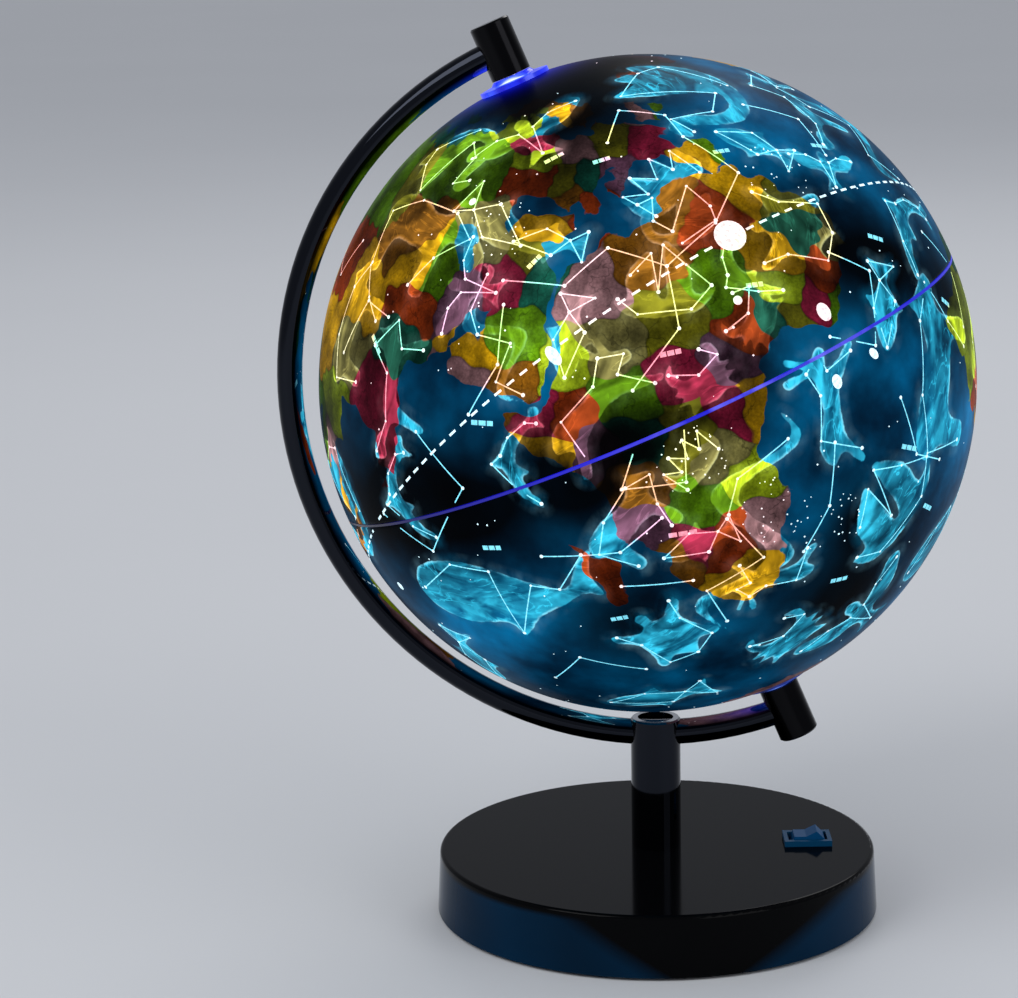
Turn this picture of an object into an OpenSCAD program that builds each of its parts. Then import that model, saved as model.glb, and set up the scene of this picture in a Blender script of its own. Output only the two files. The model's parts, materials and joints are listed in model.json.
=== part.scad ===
// Illuminated constellation desk globe: a lit globe turns between the two ends of a half-meridian
// arm, which a post carries over a round weighted base with batteries and a rocker switch.
// Millimetres, +Z up. The origin is on the floor, under the middle of the base and the post.
// The globe's axis leans to -X at the top, and the arm runs round the globe's -X side.

/* [Globe] */
// Outer diameter of the globe
globe_d = 200; // [160:5:260]
// Wall of the two half shells
globe_wall = 1.2; // [0.8:0.1:2]
// Width of the open seam between the half shells
seam_w = 0.8; // [0.5:0.1:1.5]
// Tilt of the globe's axis from upright, in degrees
tilt = 23; // [16:1:35]
// How far the post stands beside the globe's centre, towards the south pole
post_offset = 2; // [0:0.5:6]

/* [Equator band] */
// Height of the band inside the seam
band_h = 10; // [6:1:20]
// Thickness of the band
band_t = 1.5; // [1:0.1:3]

/* [Meridian arm] */
// Outer diameter of the arm's tube
arm_d = 8; // [6.5:0.5:9]
// Wall of the arm's tube
arm_wall = 1; // [0.8:0.1:1.4]
// Gap between the globe and the arm
arm_gap = 6.5; // [5:0.5:12]

/* [Pole caps] */
// Diameter of the caps at the arm's two ends
cap_d = 12.4; // [11.5:0.1:16]
// How far each cap reaches outwards past the arm
cap_over = 5; // [3.5:0.5:10]
// Bevel round each cap's outer end
cap_bevel = 0.5; // [0.2:0.1:1]
// Thickness that closes each cap's outer end
cap_floor = 2; // [1:0.5:3]
// Diameter of the north pole's pin
pin_d = 4; // [3:0.5:5]
// How far the pin reaches into the globe
pin_reach = 10; // [8:1:25]

/* [Pole bushes] */
// Diameter of the flange that lies on the globe
flange_d = 22; // [18:1:30]
// Thickness of the flange at its middle
flange_t = 1.3; // [1:0.1:3]
// Height of the hub between the flange and the cap
hub_h = 1; // [0.5:0.1:3]
// Diameter of the hub where it meets the cap
hub_d = 12; // [10.5:0.5:16]
// Diameter of the neck that passes through the shell
neck_d = 10; // [9:0.5:13]
// How far the neck reaches inwards past the shell
neck_reach = 4; // [3:0.5:8]
// Diameter of the ring that holds the bush from inside
ring_d = 16; // [15:1:24]
// Thickness of that ring
ring_t = 2; // [1:0.5:2.5]

/* [Post] */
// Diameter of the post
post_d = 15.5; // [14.5:0.5:22]
// Wall of the post
post_wall = 2.2; // [1.5:0.1:2.6]
// Height of the post above the base
post_h = 41.5; // [34:0.5:80]
// How far the arm's tube lies below the post's top
arm_sink = 0.9; // [0.5:0.1:4]
// Length of the post's thick foot, which takes the nipple
post_foot = 10; // [6:1:14]
// Diameter of the screw at the back that holds the arm
arm_screw_d = 3; // [2.5:0.5:4]
// How far that screw stands out of the post
arm_screw_proud = 0.4; // [0:0.1:1]

/* [Post fastening] */
// Diameter of the hollow threaded nipple
nipple_d = 10; // [9:0.5:11]
// Bore of the nipple
nipple_bore = 7; // [5:0.5:8]
// Diameter of the washer under the cover
washer_d = 21; // [17:1:23]
// Thickness of the washer
washer_t = 1.2; // [0.8:0.1:2]
// Size of the nut across its flats
nut_flats = 14; // [13:0.5:17]
// Height of the nut
nut_h = 4; // [3:0.5:5]

/* [Base] */
// Diameter of the base at the floor
base_d = 138; // [134:1:180]
// How much the base's radius shrinks towards the top
base_taper = 1; // [0:0.1:2]
// Height of the base without the foot ring's lift
base_h = 19; // [18:0.5:30]
// Wall of the base's cover
base_wall = 2; // [1.5:0.1:2.5]
// Rounding of the cover's top edge
base_round = 1.2; // [0.6:0.1:3]
// Thickness of the plate that closes the base
plate_t = 2.4; // [2.2:0.1:3]

/* [Foot ring] */
// Width of the rubber ring
foot_w = 3; // [2:0.5:4]
// How far the ring lifts the base off the floor
foot_lift = 1; // [0.6:0.1:3]
// How deep the ring is set in the plate
foot_sunk = 1.2; // [0.8:0.1:1.4]
// How far the ring lies inside the plate's edge
foot_inset = 1; // [1:0.5:2.5]

/* [Base screws] */
// Distance of the screws' axes from the base's rim
screw_edge = 16.5; // [14:0.5:17]
// Direction of the screws from the base's X axis, in degrees
screw_a = 52; // [48:1:58]
// Diameter of the screws
screw_d = 2.9; // [2.2:0.1:3.5]
// Diameter of their heads
screw_head_d = 5.6; // [5:0.1:6.5]
// Height of their heads
screw_head_h = 1.3; // [1:0.1:1.4]
// Depth that the screws reach into their bosses
screw_bite = 9; // [5:0.5:11]
// Diameter of the screw bosses
boss_d = 7; // [6.5:0.5:9]

/* [Ballast] */
// Thickness of the two steel ballast pieces
ballast_t = 8; // [4:0.5:11]
// Gap between the ballast and the cover's wall
ballast_side_gap = 3; // [1:0.5:6]
// Gap between the ballast and the battery bay
ballast_bay_gap = 2.5; // [1:0.5:4]

/* [Batteries] */
// Diameter of one cell
cell_d = 10.5; // [10:0.1:11]
// Length of one cell with its nub
cell_l = 44.5; // [42:0.5:45]
// Number of cells side by side
cell_count = 3; // [2:1:3]
// Gap between neighbouring cells
cell_gap = 0.5; // [0.3:0.1:0.8]
// Length that each spring takes up
spring_l = 5; // [4:0.5:6]
// Wire of the springs
spring_wire = 0.6; // [0.5:0.1:0.8]
// Turns of each spring
spring_turns = 4; // [3:1:4]
// Thickness of the contact plates
contact_t = 0.5; // [0.3:0.1:0.8]
// Wall of the battery bay
bay_wall = 1.2; // [1:0.1:1.6]
// Distance from the post's axis to the battery bay's wall
bay_offset = 12.6; // [12:0.1:13.5]

/* [Battery door] */
// Thickness of the door
door_t = 1.2; // [1:0.1:1.4]
// Width of the ledge that the door rests on
door_ledge = 1.2; // [0.8:0.1:1.5]
// Running gap round the door
door_gap = 0.3; // [0.2:0.05:0.5]
// Diameter of the door's screw
door_screw_d = 2.5; // [2:0.1:3]
// Width of the tab that the door's screw passes through
door_tab_w = 9; // [8:0.5:12]

/* [Rocker switch] */
// Length of the switch's bezel, which points away from the post
bezel_l = 14.8; // [14:0.1:18]
// Width of the bezel
bezel_w = 11.4; // [9.5:0.1:13]
// Height of the bezel above the base
bezel_h = 1.8; // [1:0.1:3]
// Distance of the switch's middle from the base's rim
switch_edge = 21.6; // [18:0.1:25]
// Direction of the switch from the post, in degrees from +X
switch_a = 7; // [-12:1:12]
// How far the bezel covers the panel round the switch's body
bezel_lip = 0.9; // [0.6:0.1:1.4]
// Depth of the switch's body below the base's top
switch_depth = 10; // [8.5:0.5:10.5]
// Length of the rocker
rocker_l = 11.6; // [10:0.1:12]
// Width of the rocker
rocker_w = 7.4; // [6:0.1:8]
// Travel of the rocker, in degrees
rocker_travel = 26; // [16:1:28]

/* [Lamp] */
// Diameter of the hollow axle that carries the lamp
axle_d = 6; // [5.6:0.1:6.4]
// Bore of that axle
axle_bore = 4.6; // [4:0.1:4.8]
// How far the lamp's board lies below the globe's centre
lamp_drop = 34; // [20:1:44]
// Diameter of the lamp's board
board_d = 32; // [26:1:36]
// Thickness of the circuit boards
board_t = 1.6; // [1:0.1:2]
// Diameter of the lamp's frosted cover
cover_d = 44; // [42:1:60]
// Wall of the lamp's cover
cover_wall = 1; // [0.8:0.1:2]
// Number of light emitters on the board
led_count = 8; // [4:1:9]
// Diameter of one emitter
led_d = 5; // [3:0.5:5]

/* [Wiring] */
// Diameter of each insulated wire
wire_d = 1.3; // [1:0.1:1.4]
// Radius of the bends in the base's leads
lead_bend = 3; // [2:0.5:4]

/* [Hidden] */
$fn = 96;

// Clearances: glued or pressed joints, running fits, loose holes, and faces that pass each other
glue_gap = 0.03;
run_gap = 0.05;
hole_gap = 0.15;
pass_gap = 0.3;
// How far a cutting shape runs past the surface that it opens
past = 1;
// The same along an arc, in degrees
past_a = 1;

// Sides and steps of the wires
wire_sides = 8;
bend_steps = 5;
arm_steps = 8;

// Heights in the base
base_r = base_d / 2;
screw_ring_r = base_r - screw_edge;
switch_r = base_r - switch_edge;
base_under = foot_lift;
base_top = foot_lift + base_h;
cavity_r = base_r - base_taper - base_wall;
cavity_top = base_top - base_wall;
plate_r = cavity_r - hole_gap;
plate_top = base_under + plate_t;
foot_r = plate_r - foot_inset;
taper_a = atan(base_taper / base_h);
edge_z = base_top - base_round;
edge_r = base_r - (base_round + (edge_z - base_under) * sin(taper_a)) / cos(taper_a);

// The arm, the globe's centre and the caps, from the post upwards
globe_r = globe_d / 2;
arm_r = globe_r + arm_gap + arm_d / 2;
arm_bore = arm_d - 2 * arm_wall;
post_r = post_d / 2;
post_top = base_top + post_h;
arm_z = post_top - arm_sink - arm_d / 2;
globe_x = -post_offset;
globe_z = arm_z + sqrt(arm_r * arm_r - post_offset * post_offset);
cap_near = globe_r + flange_t + hub_h + pass_gap;
cap_far = arm_r + arm_d / 2 + cap_over;
arm_end_gap = axle_d / 2 + 0.4;
arm_end_a = asin(arm_end_gap / arm_r);
socket_a = 2 * asin(cap_d / arm_r);
shell_inner_r = globe_r - globe_wall;

// The battery bay, whose cells lie along Y, on the -X side of the post
cell_pitch = cell_d + cell_gap;
bay_w = cell_count * cell_pitch + cell_gap;
bay_l = cell_l + spring_l + 2 * contact_t;
bay_x = -(bay_offset + bay_wall + bay_w / 2);
door_top = base_under + door_t;
cell_z = door_top + pass_gap + cell_d / 2;
bay_roof = cell_z + cell_d / 2 + pass_gap;
bay_top = bay_roof + bay_wall;
cell_back = bay_l / 2 - contact_t - spring_l;
nub_d = 3.8;
nub_h = 0.9;
tab_w = 3;
tab_x = (cell_count - 1) * cell_pitch / 2;
minus_side = cell_count % 2 == 1 ? 1 : -1;
contact_w = cell_d - 2;
contact_h = cell_d - 1.5;
link_h = 3;

// The door's screw, between the bay and the post
door_head_d = door_screw_d + 2;
door_head_h = 0.7;
door_boss_d = door_screw_d + 3;
door_boss_h = 4;
door_boss_gap = 1.5;
door_screw_x = -(bay_offset - door_boss_d / 2 - door_boss_gap);
door_tab_l = door_head_d + 2;

// The post's fastening and the switch
nut_bottom = cavity_top - washer_t - nut_h;
nipple_bottom = nut_bottom - 1;
nipple_top = base_top + post_foot - 1;
switch_body_l = bezel_l - 2 * bezel_lip;
switch_body_w = bezel_w - 2 * bezel_lip;
switch_bottom = base_top - switch_depth;
bezel_top = base_top + bezel_h;
pivot_drop = 1.4;
pivot_z = bezel_top - pivot_drop;
pivot_d = 1.2;
rocker_dip = 2.3;
rocker_bevel = 2.2;
rocker_keel = 2.2;
well_depth = 6.5;
terminal_w = 3;
terminal_t = 0.5;
terminal_l = 4.5;
terminal_set = 1;
terminal_pitch = 5;

// The leads run under the cover, and meet the switch's terminals level with the driver board
wire_r = wire_d / 2;
lead_z = cavity_top - 1.7;
lead_y = bay_l / 2 - contact_t;
black_in = lead_bend + 0.5;
red_in = black_in + wire_d + 0.5;
solder_z = switch_bottom + terminal_set - terminal_l + 1.5;

// The driver board, between the post and the switch
driver_w = 16;
driver_l = 22;
driver_x = 22;
driver_t = 1.2;
driver_z = solder_z - wire_r - driver_t;
driver_rise = driver_z - plate_top;
peg_d = 4;
peg_pin_d = 1.8;
peg_y = driver_l / 2 - 3;
// How far the leads' ends lie inside the board's edges
solder_in = 2;
chip_size = [5, 4, 1.6];
coil_d = 6;
coil_h = 3.5;

// The lamp, along the globe's own axis
board_z = -lamp_drop;
cover_r = cover_d / 2;
cover_rim_r = board_d / 2 + cover_wall + 1;
holder_rim_d = 2 * cover_rim_r;
holder_rim_t = 3;
holder_hub_d = 13;
holder_hub_h = 11;
axle_end = board_z - holder_rim_t - 2;
cover_z = board_z + sqrt(cover_r * cover_r - cover_rim_r * cover_rim_r);
led_ring_r = board_d / 2 - led_d / 2 - 2;
led_h = 4;

// The lamp's wires: up the post, along the arm and in through the south pole
wire_y = wire_r + 0.1;
post_bend = 3;
pole_bend = 2.2;
post_bend_z = globe_z - sqrt(pow(arm_r + post_bend, 2) - pow(post_bend - globe_x, 2));
post_bend_a = atan2(globe_z - post_bend_z, globe_x - post_bend);
pole_bend_z = -sqrt(pow(arm_r - pole_bend, 2) - pow(pole_bend, 2));
pole_bend_a = 360 + atan2(pole_bend_z, -pole_bend);
wire_hole_d = 2 * (wire_y + wire_r) + 1.4;
wire_start_x = driver_x - driver_w / 2 + 3;

// Places its children in the globe's frame: the origin at its centre and +Z to the north pole
module at_globe() translate([globe_x, 0, globe_z]) rotate([0, -tilt, 0]) children();

// Part of a ring tube in the XZ plane round the origin, counted from +X towards +Z
module arc_tube(ring_r, tube_d, from_a, to_a) {
    rotate([90, 0, 0])
        rotate([0, 0, from_a])
            rotate_extrude(angle = to_a - from_a)
                translate([ring_r, 0]) circle(d = tube_d);
}

function unit(v) = v / norm(v);

// Points on a circle in the XZ plane round c, counted from +X towards +Z
function arc_points(c, r, from_a, to_a, steps) =
    [for (i = [0 : steps])
        let (a = from_a + (to_a - from_a) * i / steps)
        c + r * [cos(a), 0, sin(a)]];

// Points of the bend at p for a wire that comes from a and goes on to b
function bend_points(a, p, b, bend) =
    let (u = unit(p - a),
         v = unit(b - p),
         turn = acos(u * v),
         w = unit(v - (u * v) * u),
         c = p - bend * tan(turn / 2) * u + bend * w)
    [for (i = [0 : bend_steps])
        let (t = turn * i / bend_steps)
        c - bend * cos(t) * w + bend * sin(t) * u];

// A route whose corners are rounded
function round_route(route, bend) = [
    route[0],
    for (i = [1 : len(route) - 2]) each bend_points(route[i - 1], route[i], route[i + 1], bend),
    route[len(route) - 1]
];

// A normal for each ring of a tube, carried along the tube so that it doesn't twist
function carry_normal(dirs, n, i = 0) =
    i == len(dirs) ? [] :
    let (m = unit(n - (n * dirs[i]) * dirs[i]))
    concat([m], carry_normal(dirs, m, i + 1));

// A round tube through the given points
module tube(points, d, sides) {
    last = len(points) - 1;
    dirs = [for (i = [0 : last]) unit(points[min(i + 1, last)] - points[max(i - 1, 0)])];
    normals = carry_normal(dirs, abs(dirs[0].y) < 0.9 ? [0, 1, 0] : [0, 0, 1]);
    rings = [for (i = [0 : last], j = [0 : sides - 1])
        let (b = 360 * j / sides)
        points[i] + d / 2 * (cos(b) * normals[i] + sin(b) * cross(dirs[i], normals[i]))];
    walls = [for (i = [0 : last - 1], j = [0 : sides - 1])
        let (k = (j + 1) % sides)
        each [[i * sides + j, (i + 1) * sides + k, i * sides + k],
              [i * sides + j, (i + 1) * sides + j, (i + 1) * sides + k]]];
    first_cap = [for (j = [1 : sides - 2]) [0, j, j + 1]];
    last_cap = [for (j = [1 : sides - 2]) [last * sides, last * sides + j + 1, last * sides + j]];
    polyhedron(points = rings, faces = concat(walls, first_cap, last_cap));
}

// The switch's own frame: its middle, with X pointing away from the post
module at_switch() rotate([0, 0, switch_a]) translate([switch_r, 0, 0]) children();

// A point of the switch's own frame in the whole object's frame
function switch_point(x, y, z) = [
    (switch_r + x) * cos(switch_a) - y * sin(switch_a),
    (switch_r + x) * sin(switch_a) + y * cos(switch_a),
    z
];

// The places of the four base screws
module at_base_screws()
    for (a = [screw_a, 180 - screw_a, 180 + screw_a, -screw_a])
        rotate([0, 0, a]) translate([screw_ring_r, 0, 0]) children();

// A screw that is driven upwards, with its head's face at z = 0 and a cross recess
module screw(d, head_d, head_h, l) {
    recess_w = d * 0.3;
    recess_l = head_d * 0.6;
    difference() {
        union() {
            cylinder(d = head_d, h = head_h);
            cylinder(d = d, h = head_h + l);
        }
        for (a = [0, 90])
            rotate([0, 0, a]) cube([recess_l, recess_w, head_h], center = true);
    }
}

// Half section of the base's outer shape: drafted sides and a rounded top edge
module base_section() {
    polygon([
        [0, base_under],
        [base_r, base_under],
        [edge_r + base_round * cos(taper_a), edge_z + base_round * sin(taper_a)],
        [edge_r, base_top],
        [0, base_top]
    ]);
    translate([edge_r, edge_z]) circle(r = base_round);
}

module base_cover() {
    shoulder_d = boss_d + 4;
    shoulder_z = plate_top + ballast_t + hole_gap;
    color("black") difference() {
        union() {
            difference() {
                rotate_extrude() base_section();
                translate([0, 0, base_under - past])
                    cylinder(r = cavity_r, h = cavity_top - base_under + past);
            }
            at_base_screws() {
                translate([0, 0, plate_top]) cylinder(d = boss_d, h = cavity_top - plate_top + past);
                translate([0, 0, shoulder_z]) cylinder(d = shoulder_d, h = cavity_top - shoulder_z + past);
            }
        }
        at_base_screws()
            translate([0, 0, plate_top - past])
                cylinder(d = screw_d + 2 * run_gap, h = screw_bite + 2 * past);
        translate([0, 0, cavity_top - past])
            cylinder(d = nipple_d + 2 * hole_gap, h = base_wall + 2 * past);
        at_switch() translate([0, 0, base_top])
            cube([switch_body_l + 2 * hole_gap, switch_body_w + 2 * hole_gap, 4 * base_wall], center = true);
    }
}

// Outline of the battery door, grown by a gap: a rectangle and the tab for its screw
module door_outline(grow) {
    door_w = bay_w + 2 * door_ledge - 2 * door_gap + 2 * grow;
    door_l = bay_l + 2 * door_ledge - 2 * door_gap + 2 * grow;
    tab_end = door_screw_x + door_tab_l / 2 + grow;
    translate([bay_x, 0]) square([door_w, door_l], center = true);
    translate([bay_x, -door_tab_w / 2 - grow]) square([tab_end - bay_x, door_tab_w + 2 * grow]);
}

module base_plate() {
    tab_gap = 0.2;
    color("dimgray") difference() {
        union() {
            translate([0, 0, base_under]) cylinder(r = plate_r, h = plate_t);
            translate([bay_x, 0, (plate_top + bay_top) / 2])
                cube([bay_w + 2 * bay_wall, bay_l + 2 * bay_wall, bay_top - plate_top], center = true);
            translate([door_screw_x, 0, plate_top]) cylinder(d = door_boss_d, h = door_boss_h);
            for (side = [-1, 1])
                translate([driver_x, side * peg_y, plate_top]) {
                    cylinder(d = peg_d, h = driver_rise);
                    cylinder(d = peg_pin_d, h = driver_rise + driver_t + 1);
                }
        }
        // the groove of the foot ring
        translate([0, 0, base_under - past]) difference() {
            cylinder(r = foot_r + run_gap, h = foot_sunk + past);
            cylinder(r = foot_r - foot_w - run_gap, h = foot_sunk + past);
        }
        // the battery bay, open below, and the rebate of its door
        translate([bay_x, 0, (base_under - past + bay_roof) / 2])
            cube([bay_w, bay_l, bay_roof - base_under + past], center = true);
        translate([0, 0, base_under - past])
            linear_extrude(door_t + past) door_outline(door_gap);
        // slots in the bay's roof for the two solder tabs
        at_tabs() translate([0, 0, bay_roof])
            cube([tab_w + 2 * tab_gap, contact_t + 2 * tab_gap, 4 * bay_wall], center = true);
        // the door's screw hole and the base screws' holes with their counterbores
        translate([door_screw_x, 0, base_under])
            cylinder(d = door_screw_d + 2 * run_gap, h = plate_t + door_boss_h - 1);
        at_base_screws() {
            translate([0, 0, base_under - past])
                cylinder(d = screw_d + 2 * hole_gap, h = plate_t + 2 * past);
            translate([0, 0, base_under - past])
                cylinder(d = screw_head_d + 2 * hole_gap, h = past + hole_gap + screw_head_h);
        }
    }
}

module foot_ring() {
    color([0.12, 0.12, 0.12]) difference() {
        cylinder(r = foot_r, h = foot_lift + foot_sunk);
        translate([0, 0, -past]) cylinder(r = foot_r - foot_w, h = foot_lift + foot_sunk + 2 * past);
    }
}

module base_screws() {
    shank = plate_top - base_under - hole_gap - screw_head_h + screw_bite;
    color("silver") at_base_screws()
        translate([0, 0, base_under + hole_gap]) screw(screw_d, screw_head_d, screw_head_h, shank);
}

// Two circle segments of steel plate, in front of the battery bay and behind it
module ballast_weights() {
    inner_y = bay_l / 2 + bay_wall + ballast_bay_gap;
    color("slategray") translate([0, 0, plate_top]) difference() {
        cylinder(r = cavity_r - ballast_side_gap, h = ballast_t);
        cube([2 * base_d, 2 * inner_y, 3 * ballast_t], center = true);
        at_base_screws()
            translate([0, 0, -past]) cylinder(d = boss_d + 2 * pass_gap, h = ballast_t + 2 * past);
    }
}

// The door closes the bay flush with the plate. Its grooves give a fingertip a hold.
module battery_door() {
    groove_w = 0.8;
    groove_deep = 0.4;
    groove_step = 1.6;
    groove_l = 14;
    color("dimgray") difference() {
        translate([0, 0, base_under]) linear_extrude(door_t) door_outline(0);
        translate([door_screw_x, 0, base_under - past]) {
            cylinder(d = door_screw_d + 2 * hole_gap, h = door_t + 2 * past);
            cylinder(d = door_head_d + 2 * hole_gap, h = past + door_head_h);
        }
        for (i = [1 : 4])
            translate([bay_x - bay_w / 2 + groove_step * i, 0, base_under])
                cube([groove_w, groove_l, 2 * groove_deep], center = true);
    }
}

module door_screw() {
    shank = door_t - door_head_h + door_boss_h;
    color("silver") translate([door_screw_x, 0, base_under])
        screw(door_screw_d, door_head_d, door_head_h, shank);
}

// The two ends of the row of cells, where a contact's solder tab comes up through the bay's roof
module at_tabs()
    for (tab = [[-1, -1], [1, minus_side]])
        translate([bay_x + tab.x * tab_x, tab.y * (bay_l - contact_t) / 2, 0]) children();

// Every second cell lies the other way round, as cells in series do
module at_cells()
    for (i = [0 : cell_count - 1])
        translate([bay_x + (i - (cell_count - 1) / 2) * cell_pitch, 0, cell_z])
            mirror([0, i % 2, 0]) children();

module batteries() {
    body_l = cell_l - nub_h;
    color("darkgreen") at_cells()
        translate([0, cell_back, 0]) rotate([90, 0, 0]) {
            cylinder(d = cell_d, h = body_l);
            cylinder(d = nub_d, h = cell_l - glue_gap);
        }
}

// Each spring widens away from its cell, towards its contact plate
module battery_springs() {
    steps = 14;
    narrow_r = cell_d * 0.24;
    wide_r = cell_d * 0.34;
    rise = spring_l - spring_wire - 2 * glue_gap;
    color("silver") at_cells()
        translate([0, cell_back + spring_wire / 2 + glue_gap, 0])
            tube([for (i = [0 : spring_turns * steps])
                let (t = i / (spring_turns * steps),
                     r = narrow_r + t * (wide_r - narrow_r),
                     a = 360 * i / steps)
                [r * cos(a), rise * t, r * sin(a)]], spring_wire, 6);
}

// A contact plate at both ends of each cell, links between neighbours, and two solder tabs
module battery_contacts() {
    strip_t = contact_t - 2 * glue_gap;
    strip_y = (bay_l - contact_t) / 2;
    color("gold") {
        at_cells()
            for (side = [-1, 1])
                translate([0, side * strip_y, 0])
                    cube([contact_w, strip_t, contact_h], center = true);
        for (i = [0 : cell_count - 2])
            translate([bay_x + (i + 0.5) * cell_pitch - tab_x, (i % 2 == 0 ? 1 : -1) * strip_y, cell_z])
                cube([cell_pitch, strip_t, link_h], center = true);
        at_tabs()
            translate([-tab_w / 2, -strip_t / 2, cell_z])
                cube([tab_w, strip_t, lead_z + wire_r - cell_z]);
    }
}

module driver_board() {
    color("darkgreen") difference() {
        translate([driver_x, 0, driver_z + driver_t / 2]) cube([driver_w, driver_l, driver_t], center = true);
        for (side = [-1, 1])
            translate([driver_x, side * peg_y, driver_z - past])
                cylinder(d = peg_pin_d + 2 * run_gap, h = driver_t + 2 * past);
    }
}

// A small control chip and a round coil
module driver_parts() {
    chip_place = [-1, -4];
    coil_place = [3, 3.5];
    color([0.1, 0.1, 0.1]) translate([driver_x, 0, driver_z + driver_t]) {
        translate([chip_place.x, chip_place.y, chip_size.z / 2]) cube(chip_size, center = true);
        translate(coil_place) cylinder(d = coil_d, h = coil_h);
    }
}

// Bezel and body in one moulding, with a well for the rocker and a pivot pin across it
module switch_housing() {
    well_l = rocker_l + 2 * pass_gap;
    well_w = rocker_w + 2 * pass_gap;
    slot_w = terminal_w + 2 * glue_gap;
    slot_t = terminal_t + 2 * glue_gap;
    color([0.03, 0.12, 0.22]) at_switch() {
        difference() {
            union() {
                translate([0, 0, base_top + bezel_h / 2]) cube([bezel_l, bezel_w, bezel_h], center = true);
                translate([0, 0, (switch_bottom + base_top) / 2])
                    cube([switch_body_l, switch_body_w, switch_depth], center = true);
            }
            translate([0, 0, bezel_top]) cube([well_l, well_w, 2 * well_depth], center = true);
            for (side = [-1, 1])
                translate([side * terminal_pitch / 2, 0, switch_bottom])
                    cube([slot_t, slot_w, 2 * terminal_set], center = true);
        }
        translate([0, well_w / 2 + glue_gap, pivot_z]) rotate([90, 0, 0])
            cylinder(d = pivot_d, h = well_w + 2 * glue_gap);
    }
}

// Side view of the rocker in its middle position, with the pivot at the origin. Its two wings
// rise to a ridge near each end and fall off steeply, and its keel reaches down into the well.
module rocker_section() {
    half = rocker_l / 2;
    ridge = [half - rocker_bevel, rocker_dip + (half - rocker_bevel) * tan(rocker_travel / 2)];
    edge = [half - 0.4, 0.2];
    heel = [half - 1, -0.6];
    keel = [1.6, -rocker_keel];
    polygon([
        [0, rocker_dip],
        ridge,
        edge,
        heel,
        keel,
        [-keel.x, keel.y],
        [-heel.x, heel.y],
        [-edge.x, edge.y],
        [-ridge.x, ridge.y]
    ]);
}

// At rest the light is on, and the wing farther from the post stands up
module switch_rocker() {
    color([0.04, 0.16, 0.3])
        at_switch() translate([0, 0, pivot_z])
            rotate([90, -rocker_travel / 2, 0])
                difference() {
                    linear_extrude(rocker_w, center = true) rocker_section();
                    cylinder(d = pivot_d + 2 * run_gap, h = rocker_w + 2 * past, center = true);
                }
}

module switch_terminals() {
    color("gold") at_switch() for (side = [-1, 1])
        translate([side * terminal_pitch / 2, 0, switch_bottom + terminal_set - terminal_l / 2])
            cube([terminal_t, terminal_w, terminal_l], center = true);
}

module post() {
    bevel = 0.5;
    channel_a = 15;
    color("silver") difference() {
        rotate_extrude() polygon([
            [0, base_top],
            [post_r, base_top],
            [post_r, post_top - bevel],
            [post_r - bevel, post_top],
            [0, post_top]
        ]);
        translate([0, 0, base_top + post_foot]) cylinder(r = post_r - post_wall, h = post_h);
        translate([0, 0, base_top - past]) cylinder(d = nipple_d + 2 * glue_gap, h = post_h / 2);
        at_globe()
            arc_tube(arm_r, arm_d + 2 * run_gap, 270 - channel_a - tilt, 270 + channel_a - tilt);
        translate([0, 0, arm_z]) rotate([-90, 0, 0])
            cylinder(d = arm_screw_d + 2 * glue_gap, h = post_d);
    }
}

module post_nipple() {
    color("gold") difference() {
        translate([0, 0, nipple_bottom]) cylinder(d = nipple_d, h = nipple_top - nipple_bottom);
        translate([0, 0, nipple_bottom - past])
            cylinder(d = nipple_bore, h = nipple_top - nipple_bottom + 2 * past);
    }
}

module post_nut() {
    color("gold") translate([0, 0, nut_bottom]) difference() {
        cylinder(d = nut_flats / cos(30), h = nut_h, $fn = 6);
        translate([0, 0, -past]) cylinder(d = nipple_d + 2 * glue_gap, h = nut_h + 2 * past);
    }
}

module post_washer() {
    color("silver") translate([0, 0, cavity_top - washer_t]) difference() {
        cylinder(d = washer_d, h = washer_t);
        translate([0, 0, -past]) cylinder(d = nipple_d + 2 * hole_gap, h = washer_t + 2 * past);
    }
}

// A grub screw in the back of the post that bears on the arm
module arm_screw() {
    tip_y = arm_d / 2 + glue_gap;
    l = post_r + arm_screw_proud - tip_y;
    key_d = arm_screw_d / 2;
    color("dimgray") translate([0, tip_y, arm_z]) rotate([-90, 0, 0]) difference() {
        cylinder(d = arm_screw_d, h = l);
        translate([0, 0, l - key_d]) cylinder(d = key_d, h = key_d + past, $fn = 6);
    }
}

// A half-ring tube that ends inside the two caps. The wires enter it from the post below.
module meridian_arm() {
    first_a = 90 + arm_end_a;
    last_a = 270 - arm_end_a;
    color("silver") difference() {
        at_globe() difference() {
            arc_tube(arm_r, arm_d, first_a, last_a);
            arc_tube(arm_r, arm_bore, first_a - past_a, last_a + past_a);
        }
        translate([0, 0, arm_z - arm_d]) cylinder(d = wire_hole_d, h = arm_d);
    }
}

// The north cap as the globe's frame sees it, with the given bore along its axis
module pole_cap(bore_d) {
    difference() {
        rotate_extrude() polygon([
            [0, cap_near],
            [cap_d / 2, cap_near],
            [cap_d / 2, cap_far - cap_bevel],
            [cap_d / 2 - cap_bevel, cap_far],
            [0, cap_far]
        ]);
        translate([0, 0, cap_near - past])
            cylinder(d = bore_d + 2 * glue_gap, h = cap_far - cap_near - cap_floor + past);
        arc_tube(arm_r, arm_d + 2 * glue_gap, 90 + arm_end_a, 90 + arm_end_a + socket_a);
    }
}

module north_cap() {
    color("silver") at_globe() pole_cap(pin_d);
}

module south_cap() {
    color("silver") at_globe() mirror([0, 0, 1]) difference() {
        pole_cap(axle_d);
        translate([0, 0, arm_r]) rotate([0, -90, 0]) cylinder(d = wire_hole_d, h = arm_end_gap + past);
    }
}

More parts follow.
